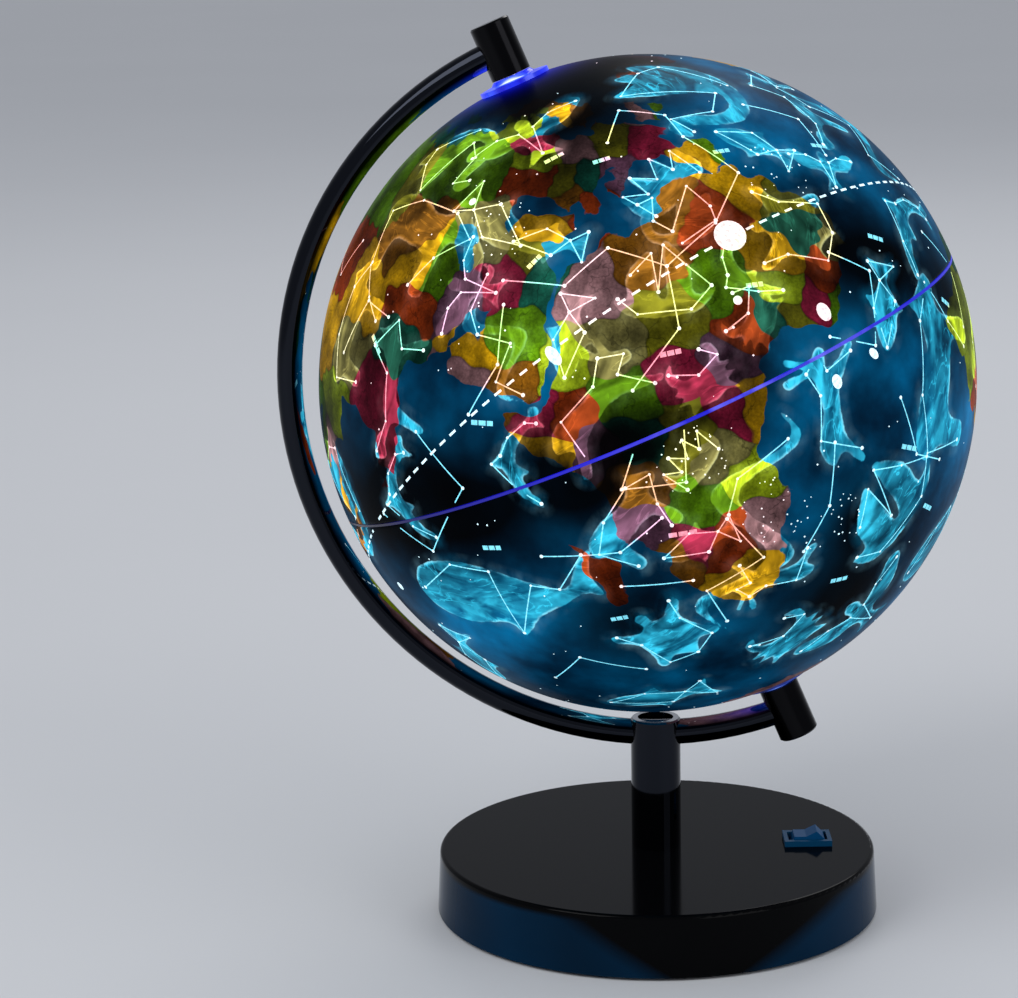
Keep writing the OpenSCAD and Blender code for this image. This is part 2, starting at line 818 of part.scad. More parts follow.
module north_pin() {
    tip = 1;
    pin_from = shell_inner_r - pin_reach;
    pin_to = cap_far - cap_floor;
    color("gainsboro") at_globe() rotate_extrude() polygon([
        [0, pin_from],
        [pin_d / 2 - tip, pin_from],
        [pin_d / 2, pin_from + tip],
        [pin_d / 2, pin_to],
        [0, pin_to]
    ]);
}

// The hollow axle stays still with the lamp while the globe turns round it
module lamp_axle() {
    axle_from = -(cap_far - cap_floor);
    color("gainsboro") at_globe() difference() {
        translate([0, 0, axle_from]) cylinder(d = axle_d, h = axle_end - axle_from);
        translate([0, 0, axle_from - past]) cylinder(d = axle_bore, h = axle_end - axle_from + 2 * past);
        translate([0, 0, -arm_r]) rotate([0, -90, 0]) cylinder(d = wire_hole_d, h = axle_d);
    }
}

module lamp_holder() {
    color("white") at_globe() difference() {
        union() {
            translate([0, 0, board_z - holder_rim_t]) cylinder(d = holder_rim_d, h = holder_rim_t);
            translate([0, 0, board_z - holder_rim_t - holder_hub_h])
                cylinder(d = holder_hub_d, h = holder_hub_h + holder_rim_t);
        }
        translate([0, 0, board_z - holder_rim_t - holder_hub_h - past])
            cylinder(d = axle_d + 2 * glue_gap,
                     h = axle_end - board_z + holder_rim_t + holder_hub_h + past);
        translate([0, 0, axle_end - past]) cylinder(d = axle_bore, h = board_z - axle_end + 2 * past);
    }
}

module lamp_board() {
    color("darkgreen") at_globe() translate([0, 0, board_z]) cylinder(d = board_d, h = board_t);
}

module lamp_leds() {
    color("lightyellow") at_globe()
        for (i = [0 : led_count - 1])
            rotate([0, 0, i * 360 / led_count])
                translate([led_ring_r, 0, board_z + board_t]) {
                    cylinder(d = led_d, h = led_h);
                    translate([0, 0, led_h]) sphere(d = led_d);
                }
}

module lamp_cover() {
    color([0.95, 0.95, 0.95, 0.6]) at_globe() difference() {
        translate([0, 0, cover_z]) sphere(r = cover_r);
        translate([0, 0, cover_z]) sphere(r = cover_r - cover_wall);
        translate([0, 0, board_z - cover_d]) cylinder(d = 2 * cover_d, h = cover_d);
    }
}

// The route of a lamp wire: from the driver board to the post and up it, along the arm, then
// through the south pole to the lamp's board. World angles less the tilt are the globe's own.
function globe_to_world(p) = [
    globe_x + p.x * cos(tilt) - p.z * sin(tilt),
    p.y,
    globe_z + p.x * sin(tilt) + p.z * cos(tilt)
];
function lamp_route() = concat(
    [[wire_start_x, 0, solder_z]],
    bend_points([wire_start_x, 0, solder_z], [0, 0, solder_z], [0, 0, arm_z], lead_bend),
    arc_points([post_bend, 0, post_bend_z], post_bend, 180, post_bend_a, bend_steps),
    [for (p = concat(
        arc_points([0, 0, 0], arm_r, post_bend_a + 180 - tilt + past_a, pole_bend_a - past_a, arm_steps),
        arc_points([-pole_bend, 0, pole_bend_z], pole_bend, pole_bend_a, 360, bend_steps),
        [[0, 0, board_z - glue_gap]]))
        globe_to_world(p)]
);

module lamp_wire(side) {
    translate([0, side * wire_y, 0]) tube(lamp_route(), wire_d, wire_sides);
}

module lamp_wire_red() color("red") lamp_wire(-1);

module lamp_wire_black() color([0.1, 0.1, 0.1]) lamp_wire(1);

// From the battery to the switch's outer terminal, and from its inner one to the driver board
module supply_leads_red() {
    inner = -terminal_pitch / 2;
    outer = terminal_pitch / 2;
    end_y = -terminal_w / 2;
    turn_y = end_y - 2 * lead_bend;
    board_end = [driver_x + driver_w / 2 - solder_in, solder_in - driver_l / 2, solder_z];
    color("red") {
        tube(round_route([
            [bay_x - tab_x, -lead_y, lead_z],
            [bay_x - tab_x, red_in - lead_y, lead_z],
            switch_point(outer, red_in - lead_y, lead_z),
            switch_point(outer, red_in - lead_y, solder_z),
            switch_point(outer, end_y, solder_z)
        ], lead_bend), wire_d, wire_sides);
        tube(round_route([
            switch_point(inner, end_y, solder_z),
            switch_point(inner, turn_y, solder_z),
            board_end
        ], lead_bend), wire_d, wire_sides);
    }
}

// From the battery's other end to the driver board
module supply_lead_black() {
    end_x = driver_x + 2;
    run_y = lead_y - black_in;
    color([0.1, 0.1, 0.1])
        tube(round_route([
            [bay_x + tab_x, minus_side * lead_y, lead_z],
            [bay_x + tab_x, minus_side * run_y, lead_z],
            [end_x, minus_side * run_y, lead_z],
            [end_x, minus_side * run_y, solder_z],
            [end_x, minus_side * (driver_l / 2 - solder_in), solder_z]
        ], lead_bend), wire_d, wire_sides);
}

// A half shell with the seam's gap at the equator and the bush's hole at the pole
module half_shell() {
    difference() {
        sphere(r = globe_r);
        sphere(r = shell_inner_r);
        translate([0, 0, seam_w / 2 - 2 * globe_d]) cylinder(d = 2 * globe_d, h = 2 * globe_d);
        cylinder(d = neck_d + 2 * glue_gap, h = globe_d);
    }
}

module north_shell() {
    color("royalblue") at_globe() half_shell();
}

module south_shell() {
    color("royalblue") at_globe() mirror([0, 0, 1]) half_shell();
}

// A translucent ring inside the seam, whose rib fills the gap between the shells
module equator_band() {
    band_r = sqrt(pow(shell_inner_r, 2) - pow(band_h / 2, 2)) - run_gap;
    rib_r = globe_r - run_gap;
    rib_w = seam_w - 2 * glue_gap;
    color("blue") at_globe() difference() {
        union() {
            cylinder(r = band_r, h = band_h, center = true);
            cylinder(r = rib_r, h = rib_w, center = true);
        }
        cylinder(r = band_r - band_t, h = band_h + 2 * past, center = true);
    }
}

// A flanged bush that lies on the shell, with a low hub under the cap and a neck inside
module pole_bush(bore_d) {
    flange_top = globe_r + flange_t;
    rim_drop = 0.5;
    bore_r = bore_d / 2 + run_gap;
    neck_from = shell_inner_r - neck_reach;
    rotate_extrude() {
        difference() {
            polygon([
                [bore_r, globe_r - past],
                [flange_d / 2, globe_r - past],
                [flange_d / 2, flange_top - rim_drop],
                [hub_d / 2 + 1, flange_top],
                [hub_d / 2, flange_top + hub_h],
                [bore_r, flange_top + hub_h]
            ]);
            circle(r = globe_r + glue_gap, $fn = 720);
        }
        translate([bore_r, neck_from])
            square([neck_d / 2 - bore_r, globe_r + flange_t / 2 - neck_from]);
    }
}

// A ring that holds the bush's neck from inside the shell
module pole_bush_ring() {
    ring_top = sqrt(pow(shell_inner_r, 2) - pow(ring_d / 2, 2)) - glue_gap;
    difference() {
        translate([0, 0, ring_top - ring_t]) cylinder(d = ring_d, h = ring_t);
        cylinder(d = neck_d + 2 * glue_gap, h = globe_d);
    }
}

module north_bush() {
    color([0.1, 0.2, 1]) at_globe() pole_bush(pin_d);
}

module north_bush_ring() {
    color("white") at_globe() pole_bush_ring();
}

module south_bush() {
    color([0.1, 0.2, 0.6]) at_globe() mirror([0, 0, 1]) pole_bush(axle_d);
}

module south_bush_ring() {
    color("white") at_globe() mirror([0, 0, 1]) pole_bush_ring();
}

base_cover();
base_plate();
foot_ring();
base_screws();
ballast_weights();
battery_door();
door_screw();
batteries();
battery_springs();
battery_contacts();
driver_board();
driver_parts();
switch_housing();
switch_rocker();
switch_terminals();
post();
post_nipple();
post_nut();
post_washer();
arm_screw();
meridian_arm();
north_cap();
south_cap();
north_pin();
lamp_axle();
lamp_holder();
lamp_board();
lamp_leds();
lamp_cover();
lamp_wire_red();
lamp_wire_black();
supply_leads_red();
supply_lead_black();
north_shell();
south_shell();
equator_band();
north_bush();
north_bush_ring();
south_bush();
south_bush_ring();
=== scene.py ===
import json
import math
import random
import bmesh
import bpy
import numpy as np
from mathutils import Matrix, Vector


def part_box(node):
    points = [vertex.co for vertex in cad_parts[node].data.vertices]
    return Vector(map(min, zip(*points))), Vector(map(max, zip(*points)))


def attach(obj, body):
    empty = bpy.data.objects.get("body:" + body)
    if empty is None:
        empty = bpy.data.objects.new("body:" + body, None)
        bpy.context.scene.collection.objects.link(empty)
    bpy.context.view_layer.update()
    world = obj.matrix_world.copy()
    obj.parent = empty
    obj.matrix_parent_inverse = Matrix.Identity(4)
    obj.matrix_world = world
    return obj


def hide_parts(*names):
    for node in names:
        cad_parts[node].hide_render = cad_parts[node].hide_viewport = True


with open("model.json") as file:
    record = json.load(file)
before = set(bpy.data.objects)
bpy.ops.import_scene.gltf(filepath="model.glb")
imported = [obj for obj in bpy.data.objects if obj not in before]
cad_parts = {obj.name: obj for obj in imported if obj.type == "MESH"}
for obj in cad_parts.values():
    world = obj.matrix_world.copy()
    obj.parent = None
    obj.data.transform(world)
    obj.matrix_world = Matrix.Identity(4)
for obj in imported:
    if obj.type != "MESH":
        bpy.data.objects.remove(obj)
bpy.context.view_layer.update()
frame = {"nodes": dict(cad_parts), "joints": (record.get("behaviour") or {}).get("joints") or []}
mm = 0.001


# Camera, floor and lamps: the camera stands about a metre away, a little above the globe's middle and
# to its right, as the photograph's did. The floor is plain and pale, and three soft lamps light it.
view_turn = math.radians(7.006)
view_rise = math.radians(12.631)
view_roll = math.radians(-0.963)
view_distance = 1047.5 * mm
aim_side = -44.56 * mm
aim_height = 131.88 * mm
sensor_w = 36.0
lens_length = 120.455

to_camera = Vector((math.sin(view_turn) * math.cos(view_rise),
                    -math.cos(view_turn) * math.cos(view_rise),
                    math.sin(view_rise)))
level_right = Vector((math.cos(view_turn), math.sin(view_turn), 0))
level_up = to_camera.cross(level_right)
view_right = level_right * math.cos(view_roll) + level_up * math.sin(view_roll)
view_up = level_up * math.cos(view_roll) - level_right * math.sin(view_roll)
stand_point = level_right * aim_side + Vector((0, 0, aim_height)) + to_camera * view_distance

camera_data = bpy.data.cameras.new("camera")
camera_data.sensor_width = sensor_w
camera_data.lens = lens_length
camera_data.clip_start = 0.05
camera = bpy.data.objects.new("camera", camera_data)
turn = Matrix((view_right, view_up, to_camera)).transposed().to_4x4()
camera.matrix_world = Matrix.Translation(stand_point) @ turn
bpy.context.scene.collection.objects.link(camera)
bpy.context.scene.camera = camera
bpy.context.scene.view_settings.view_transform = "Standard"


def finish(name):
    """A new node material, with its shader and its node tree."""
    material = bpy.data.materials.new(name)
    material.use_nodes = True
    tree = material.node_tree
    tree.nodes.clear()
    shader = tree.nodes.new("ShaderNodeBsdfPrincipled")
    output = tree.nodes.new("ShaderNodeOutputMaterial")
    tree.links.new(shader.outputs[0], output.inputs[0])
    return material, tree, shader


def grain(tree, scale, detail=3.0, stretch=(1, 1, 1)):
    """A noise texture in the object's own coordinates. Its scale is in features per metre."""
    place = tree.nodes.new("ShaderNodeTexCoord")
    sizing = tree.nodes.new("ShaderNodeMapping")
    sizing.inputs["Scale"].default_value = stretch
    noise = tree.nodes.new("ShaderNodeTexNoise")
    noise.inputs["Scale"].default_value = scale
    noise.inputs["Detail"].default_value = detail
    tree.links.new(place.outputs["Object"], sizing.inputs["Vector"])
    tree.links.new(sizing.outputs[0], noise.inputs["Vector"])
    return noise.outputs["Fac"]


def blend(tree, amount, low, high):
    """Goes from one colour to another as amount goes from 0 to 1."""
    mix = tree.nodes.new("ShaderNodeMix")
    mix.data_type = "RGBA"
    for socket, value in ((mix.inputs[0], amount), (mix.inputs[6], low), (mix.inputs[7], high)):
        if isinstance(value, bpy.types.NodeSocket):
            tree.links.new(value, socket)
        else:
            socket.default_value = (*value, 1) if isinstance(value, tuple) else value
    return mix.outputs[2]


def paint(tree, shader, amount, low, high):
    """A body colour that goes from one colour to another with amount."""
    tree.links.new(blend(tree, amount, low, high), shader.inputs["Base Color"])


floor_paint, tree, shader = finish("floor_paint")
paint(tree, shader, grain(tree, 3.0), (0.60, 0.61, 0.63), (0.63, 0.64, 0.66))
shader.inputs["Roughness"].default_value = 0.75
floor_half = 4.0
floor_mesh = bpy.data.meshes.new("floor")
floor_mesh.from_pydata([(-floor_half, -floor_half, 0), (floor_half, -floor_half, 0),
                        (floor_half, floor_half, 0), (-floor_half, floor_half, 0)], [], [(0, 1, 2, 3)])
floor = bpy.data.objects.new("floor", floor_mesh)
floor.data.materials.append(floor_paint)
bpy.context.scene.collection.objects.link(floor)

sky = bpy.data.worlds.new("studio")
sky.use_nodes = True
background = sky.node_tree.nodes["Background"]
background.inputs["Strength"].default_value = 1.0
ray = sky.node_tree.nodes.new("ShaderNodeLightPath")
seen = ray.outputs["Is Camera Ray"]
for kind in ("Is Glossy Ray", "Is Transmission Ray"):
    either = sky.node_tree.nodes.new("ShaderNodeMath")
    either.operation = "MAXIMUM"
    sky.node_tree.links.new(seen, either.inputs[0])
    sky.node_tree.links.new(ray.outputs[kind], either.inputs[1])
    seen = either.outputs[0]
backdrop = blend(sky.node_tree, seen, (0.52, 0.54, 0.58), (0.32, 0.335, 0.37))
sky.node_tree.links.new(backdrop, background.inputs["Color"])
bpy.context.scene.world = sky

lamp_aim = Vector((0, 0, 0.13))
# Each lamp's place and size in metres, and its power in watts.
lamp_places = {
    "key_lamp": ((-0.9, -1.0, 1.3), 0.9, 11.0),
    "fill_lamp": ((1.2, -0.8, 0.9), 0.9, 5.0),
    "back_lamp": ((0.2, 1.3, 1.2), 0.8, 5.0),
}
for name, (place, size, power) in lamp_places.items():
    lamp_data = bpy.data.lights.new(name, "AREA")
    lamp_data.size = size
    lamp_data.energy = power
    lamp = bpy.data.objects.new(name, lamp_data)
    lamp.location = place
    lamp.rotation_euler = (lamp_aim - Vector(place)).to_track_quat("-Z", "Y").to_euler()
    bpy.context.scene.collection.objects.link(lamp)


# Foot ring: a flat ring of moulded black rubber. It is pressed into a shallow groove under the base plate,
# and the whole lamp stands on it.
def coat(node, material):
    """Gives a node of the frame its finish."""
    mesh = frame["nodes"][node].data
    mesh.materials.clear()
    mesh.materials.append(material)


def spread(tree, value, low, high, from_low=0.0, from_high=1.0):
    """Maps a value from one range to another."""
    node = tree.nodes.new("ShaderNodeMapRange")
    node.inputs["From Min"].default_value = from_low
    node.inputs["From Max"].default_value = from_high
    node.inputs["To Min"].default_value = low
    node.inputs["To Max"].default_value = high
    tree.links.new(value, node.inputs["Value"])
    return node.outputs[0]


def roughen(tree, shader, scale, low, high):
    """A roughness that varies between two values, in patches of this scale."""
    tree.links.new(spread(tree, grain(tree, scale), low, high), shader.inputs["Roughness"])


def add_bump(tree, shader, height, depth):
    """A fine relief: depth is in metres."""
    node = tree.nodes.new("ShaderNodeBump")
    node.inputs["Distance"].default_value = depth
    tree.links.new(height, node.inputs["Height"])
    tree.links.new(node.outputs[0], shader.inputs["Normal"])


def plain_finish(name, colour, other, rough, metal=0.0, scale=400.0, relief=0.0, gloss=0.5):
    """A finish that varies between two close colours, with a roughness that varies too."""
    material, tree, shader = finish(name)
    paint(tree, shader, grain(tree, scale), colour, other)
    roughen(tree, shader, 1.7 * scale, *rough)
    shader.inputs["Metallic"].default_value = metal
    shader.inputs["Specular IOR Level"].default_value = gloss
    if relief:
        add_bump(tree, shader, grain(tree, 3 * scale), relief)
    return material


coat("foot_ring", plain_finish("black_rubber", (0.012, 0.012, 0.013), (0.03, 0.03, 0.03), (0.7, 0.9),
                               relief=0.04 * mm))


# Base plate and battery door: moulded in matt black plastic with a fine spark grain. The plate holds the
# battery bay, and the door closes it with one screw.
moulded_black = plain_finish("moulded_black", (0.016, 0.016, 0.018), (0.03, 0.03, 0.033), (0.45, 0.65),
                             scale=900.0, relief=0.03 * mm)
coat("base_plate", moulded_black)
coat("battery_door", moulded_black)


# Screws, washer and spindles: zinc-plated steel with a brushed sheen. Four screws hold the base plate, one
# the door, and a black grub screw at the back of the post holds the arm.
plated_steel = plain_finish("plated_steel", (0.50, 0.50, 0.51), (0.62, 0.62, 0.62), (0.22, 0.4),
                            metal=1.0, scale=700.0)
for node in ("base_screws", "door_screw", "post_washer", "north_pin", "lamp_axle"):
    coat(node, plated_steel)
black_steel = plain_finish("black_steel", (0.03, 0.03, 0.035), (0.06, 0.06, 0.065), (0.3, 0.5), metal=1.0)
coat("arm_screw", black_steel)


# Ballast: two segments of rolled steel plate that lie on the base plate. The cover's screw bosses pass
# through them, and shoulders on the bosses keep them down.
coat("ballast_weights", plain_finish("rolled_steel", (0.10, 0.10, 0.11), (0.2, 0.19, 0.19), (0.4, 0.7),
                                     metal=1.0, scale=120.0, relief=0.05 * mm))


# Batteries and their contacts: three plain green cells with a pale end band, coil springs of bright wire,
# and stamped contact plates.
def own_place(tree):
    """Where a point lies on the object: its X, Y and Z in metres."""
    place = tree.nodes.new("ShaderNodeTexCoord")
    parts = tree.nodes.new("ShaderNodeSeparateXYZ")
    tree.links.new(place.outputs["Object"], parts.inputs[0])
    return parts.outputs


cell_wrap, tree, shader = finish("cell_wrap")
band_from = 11.5 * mm
band = spread(tree, own_place(tree)["Y"], 0.0, 1.0, band_from, band_from + 0.2 * mm)
paint(tree, shader, band, (0.012, 0.11, 0.05), (0.55, 0.52, 0.4))
roughen(tree, shader, 300.0, 0.22, 0.35)
coat("batteries", cell_wrap)
spring_wire = plain_finish("spring_wire", (0.55, 0.55, 0.54), (0.68, 0.68, 0.67), (0.2, 0.35), metal=1.0)
coat("battery_springs", spring_wire)
contact_plate = plain_finish("contact_plate", (0.58, 0.53, 0.40), (0.68, 0.62, 0.48), (0.25, 0.4),
                             metal=1.0)
coat("battery_contacts", contact_plate)
coat("switch_terminals", contact_plate)


# Driver board: a small green circuit board on two pegs, with a chip and a coil. Red and black leads join
# it to the battery bay and the switch.
def board_finish(name):
    """Green solder mask with lighter copper tracks under it."""
    material, tree, shader = finish(name)
    place = tree.nodes.new("ShaderNodeTexCoord")
    tracks = tree.nodes.new("ShaderNodeTexBrick")
    tracks.inputs["Scale"].default_value = 180.0
    tracks.inputs["Mortar Size"].default_value = 0.06
    tracks.inputs["Color1"].default_value = (0.008, 0.09, 0.035, 1)
    tracks.inputs["Color2"].default_value = (0.010, 0.11, 0.04, 1)
    tracks.inputs["Mortar"].default_value = (0.03, 0.2, 0.08, 1)
    tree.links.new(place.outputs["Object"], tracks.inputs["Vector"])
    tree.links.new(tracks.outputs["Color"], shader.inputs["Base Color"])
    roughen(tree, shader, 500.0, 0.25, 0.4)
    return material


coat("driver_board", board_finish("driver_board_mask"))
coat("lamp_board", board_finish("lamp_board_mask"))
coat("driver_parts", plain_finish("moulded_chip", (0.012, 0.012, 0.012), (0.03, 0.03, 0.03), (0.4, 0.6),
                                  scale=900.0))
wire_red = plain_finish("wire_red", (0.45, 0.012, 0.012), (0.55, 0.02, 0.02), (0.35, 0.5))
wire_black = plain_finish("wire_black", (0.012, 0.012, 0.012), (0.022, 0.022, 0.022), (0.35, 0.5))
coat("supply_leads_red", wire_red)
coat("lamp_wire_red", wire_red)
coat("supply_lead_black", wire_black)
coat("lamp_wire_black", wire_black)


# Base cover: one moulding of polished black plastic, a low drum with a softly rounded top edge. It is
# wiped clean, so it has only faint smears.
def reckon(tree, operation, a, b=None):
    """One sum on values of the surface."""
    node = tree.nodes.new("ShaderNodeMath")
    node.operation = operation
    for socket, value in zip(node.inputs, (a, b)):
        if isinstance(value, bpy.types.NodeSocket):
            tree.links.new(value, socket)
        elif value is not None:
            socket.default_value = value
    return node.outputs[0]


def times(tree, first, *others):
    """The product of two or more values of the surface."""
    for other in others:
        first = reckon(tree, "MULTIPLY", first, other)
    return first


def gap(tree, a, b):
    """How far apart two values of the surface are."""
    return reckon(tree, "ABSOLUTE", reckon(tree, "SUBTRACT", a, b))


# Painted light: the globe's blue light is painted into the colour of the drum's side, apart from a dark wedge
# in front that widens upwards, which is a painted reflection.
wedge_x = 20 * mm
wedge_half = 24 * mm
wedge_soft = 10 * mm
wedge_slope = 1.6
side_middle = 10 * mm
side_top = 17 * mm
top_bend = 1.5 * mm
piano_black, tree, shader = finish("piano_black")
here = own_place(tree)
wider = times(tree, reckon(tree, "SUBTRACT", here["Z"], side_middle), wedge_slope)
past_wedge = reckon(tree, "SUBTRACT", gap(tree, here["X"], wedge_x), wider)
painted_blue_light = spread(tree, past_wedge, 0.0, 1.0, wedge_half, wedge_half + wedge_soft)
side_wall = spread(tree, here["Z"], 1.0, 0.0, side_top, side_top + top_bend)
painted_blue_light = times(tree, painted_blue_light, side_wall, grain(tree, 16.0, 2.0))
# Painted light: near black where unlit, painted blue where the globe's light falls on the side.
paint(tree, shader, painted_blue_light, (0.0010, 0.0011, 0.0014), (0.0004, 0.030, 0.080))
roughen(tree, shader, 24.0, 0.07, 0.12)
shader.inputs["IOR"].default_value = 1.35
shader.inputs["Specular IOR Level"].default_value = 0.08
coat("base_cover", piano_black)


# Rocker switch: a small switch, coloured dark blue and pushed into a slot in the base's top. Its rocker,
# coloured a shade lighter, turns on a pin across the well of the bezel.
for node, name, colour, other in (
        ("switch_housing", "switch_blue", (0.002, 0.052, 0.13), (0.003, 0.062, 0.15)),
        ("switch_rocker", "rocker_blue", (0.001, 0.06, 0.17), (0.002, 0.072, 0.2))):
    coat(node, plain_finish(name, colour, other, (0.35, 0.45), scale=600.0, gloss=0.08))


# Post and its fastening: a turned chrome tube over a hollow brass nipple, which a nut under the cover pulls
# tight. The chrome's colour holds a painted reflection: painted dark round the outside and bright where it
# faces the lit globe.
def facing(tree, middle):
    """How squarely a surface faces a point, from -1 to 1."""
    place = tree.nodes.new("ShaderNodeTexCoord")
    toward = tree.nodes.new("ShaderNodeVectorMath")
    toward.operation = "SUBTRACT"
    toward.inputs[0].default_value = middle
    tree.links.new(place.outputs["Object"], toward.inputs[1])
    unit = tree.nodes.new("ShaderNodeVectorMath")
    unit.operation = "NORMALIZE"
    tree.links.new(toward.outputs[0], unit.inputs[0])
    dot = tree.nodes.new("ShaderNodeVectorMath")
    dot.operation = "DOT_PRODUCT"
    tree.links.new(unit.outputs[0], dot.inputs[0])
    tree.links.new(place.outputs["Normal"], dot.inputs[1])
    return dot.outputs["Value"]


def middle_of(node):
    """The middle of a node's box."""
    low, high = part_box(node)
    return (Vector(low) + Vector(high)) / 2


chrome_painted_reflection, tree, shader = finish("chrome_painted_reflection")
# Painted reflection: the colour is bright where the surface faces the globe and dark elsewhere.
toward_globe = spread(tree, facing(tree, middle_of("equator_band")), 0.0, 1.0, 0.5, 0.85)
bright = times(tree, toward_globe, spread(tree, grain(tree, 40.0), 0.9, 1.0))
paint(tree, shader, bright, (0.016, 0.018, 0.024), (0.62, 0.64, 0.67))
roughen(tree, shader, 68.0, 0.03, 0.06)
shader.inputs["Metallic"].default_value = 1.0
coat("post", chrome_painted_reflection)
brass = plain_finish("turned_brass", (0.55, 0.40, 0.16), (0.66, 0.48, 0.2), (0.2, 0.4), metal=1.0)
coat("post_nipple", brass)
coat("post_nut", brass)


# Meridian arm and its two caps: a steel tube bent to a half ring and chromed with the post. Its ends sit in
# two turned caps in a blacker chrome.
# The arm takes the same painted reflection of the globe.
coat("meridian_arm", chrome_painted_reflection)
black_chrome = plain_finish("black_chrome", (0.006, 0.006, 0.007), (0.010, 0.010, 0.011), (0.12, 0.2),
                            metal=1.0, scale=60.0)
coat("north_cap", black_chrome)
coat("south_cap", black_chrome)


# Lamp: a moulded white holder on the hollow axle carries a round board with eight light emitters. A dome
# of frosted plastic covers them.
holder_white = plain_finish("holder_white", (0.62, 0.62, 0.6), (0.7, 0.7, 0.68), (0.4, 0.55), scale=500.0)
coat("lamp_holder", holder_white)
emitter, tree, shader = finish("clear_emitter")
paint(tree, shader, grain(tree, 300.0), (0.9, 0.85, 0.55), (1.0, 0.97, 0.8))
roughen(tree, shader, 500.0, 0.05, 0.15)
shader.inputs["Emission Color"].default_value = (1.0, 0.95, 0.8, 1)
shader.inputs["Emission Strength"].default_value = 2.0
coat("lamp_leds", emitter)
frosted, tree, shader = finish("frosted_dome")
paint(tree, shader, grain(tree, 200.0), (0.82, 0.84, 0.86), (0.9, 0.91, 0.92))
roughen(tree, shader, 900.0, 0.4, 0.6)
shader.inputs["Transmission Weight"].default_value = 0.5
coat("lamp_cover", frosted)


# Globe shells: two half shells of translucent plastic, printed with a map of the world. The print is
# mirrored, and it glows where the lamp shines through it, with charts of the night sky in between.
spin = next(j for j in frame["joints"] if j["name"] == "globe_spin")
globe_centre = Vector(spin["pos_m"])
globe_tilt = math.asin(-spin["axis"][0])
globe_place = Matrix.Translation(globe_centre) @ Matrix.Rotation(-globe_tilt, 4, "Y")
print_h = 0.05 * mm
shell_r = 100.0 * mm - print_h
shell_t = 1.2 * mm
seam_half = 0.6 * mm
pole_hole_r = 5.05 * mm
east_is = -1
prime_meridian = math.radians(-55)
outer_rows, inner_rows, hole_rows = 200, 50, 8


def dome_rows(rows, radius):
    """Points of half a sphere in rows from the pole's hole to the seam. Row i has 4 i points."""
    first = math.asin(pole_hole_r / radius)
    last = math.acos(seam_half / radius)
    found = []
    for i in range(hole_rows, rows + 1):
        slope = first + (last - first) * (i - hole_rows) / (rows - hole_rows)
        around = np.arange(4 * i) * (2 * math.pi / (4 * i))
        found.append(np.stack([np.sin(slope) * np.cos(around), np.sin(slope) * np.sin(around),
                               np.full(4 * i, math.cos(slope))], 1) * radius)
    return np.concatenate(found)


def dome_faces(rows, start):
    """Triangles between those rows, wound to face outwards."""
    offset = {i: start + sum(4 * k for k in range(hole_rows, i)) for i in range(hole_rows, rows + 1)}
    found = []
    for i in range(hole_rows, rows):
        upper, lower = 4 * i, 4 * (i + 1)
        for quarter in range(4):
            j = np.arange(i + 1)
            a = offset[i] + (quarter * i + j) % upper
            b = offset[i + 1] + quarter * (i + 1) + j
            c = offset[i + 1] + (quarter * (i + 1) + j + 1) % lower
            found.append(np.stack([a, b, c], 1))
            d = offset[i] + (quarter * i + j[:-1] + 1) % upper
            found.append(np.stack([a[:-1], c[:-1], d], 1))
    return np.concatenate(found), offset


def half_shell(name, node, side):
    """Outer and inner dome, joined at the seam and at the pole's hole. side is 1 for the north."""
    outer = dome_rows(outer_rows, shell_r)
    inner = dome_rows(inner_rows, shell_r - shell_t)
    points = np.concatenate([outer, inner])
    outer_faces, outer_start = dome_faces(outer_rows, 0)
    inner_faces, inner_start = dome_faces(inner_rows, len(outer))
    faces = [outer_faces, inner_faces[:, ::-1]]
    around = np.arange(4 * hole_rows)
    beside = (around + 1) % (4 * hole_rows)
    o, n = outer_start[hole_rows], inner_start[hole_rows]
    faces.append(np.stack([o + around, o + beside, n + around], 1))
    faces.append(np.stack([o + beside, n + beside, n + around], 1))
    step = outer_rows // inner_rows
    outer_rim, inner_rim = 4 * outer_rows, 4 * inner_rows
    o, n = outer_start[outer_rows], inner_start[inner_rows]
    around = np.arange(outer_rim)
    near = ((around + step // 2) // step) % inner_rim
    faces.append(np.stack([o + (around + 1) % outer_rim, o + around, n + near], 1))
    turn_at = np.arange(step - step // 2 - 1, outer_rim, step)
    near = ((turn_at + step // 2) // step) % inner_rim
    faces.append(np.stack([o + (turn_at + 1) % outer_rim, n + near, n + (near + 1) % inner_rim], 1))
    faces = np.concatenate(faces)
    if side < 0:
        points = points * np.array([1, 1, -1])
        faces = faces[:, ::-1]
    mesh = bpy.data.meshes.new(name)
    mesh.from_pydata([globe_place @ Vector(p) for p in points.tolist()], [], faces.tolist())
    mesh.shade_smooth()
    shell = bpy.data.objects.new(name, mesh)
    bpy.context.scene.collection.objects.link(shell)
    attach(shell, "globe")
    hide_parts(node)
    return shell, points


north_print, north_points = half_shell("north_print", "north_shell", 1)
south_print, south_points = half_shell("south_print", "south_shell", -1)


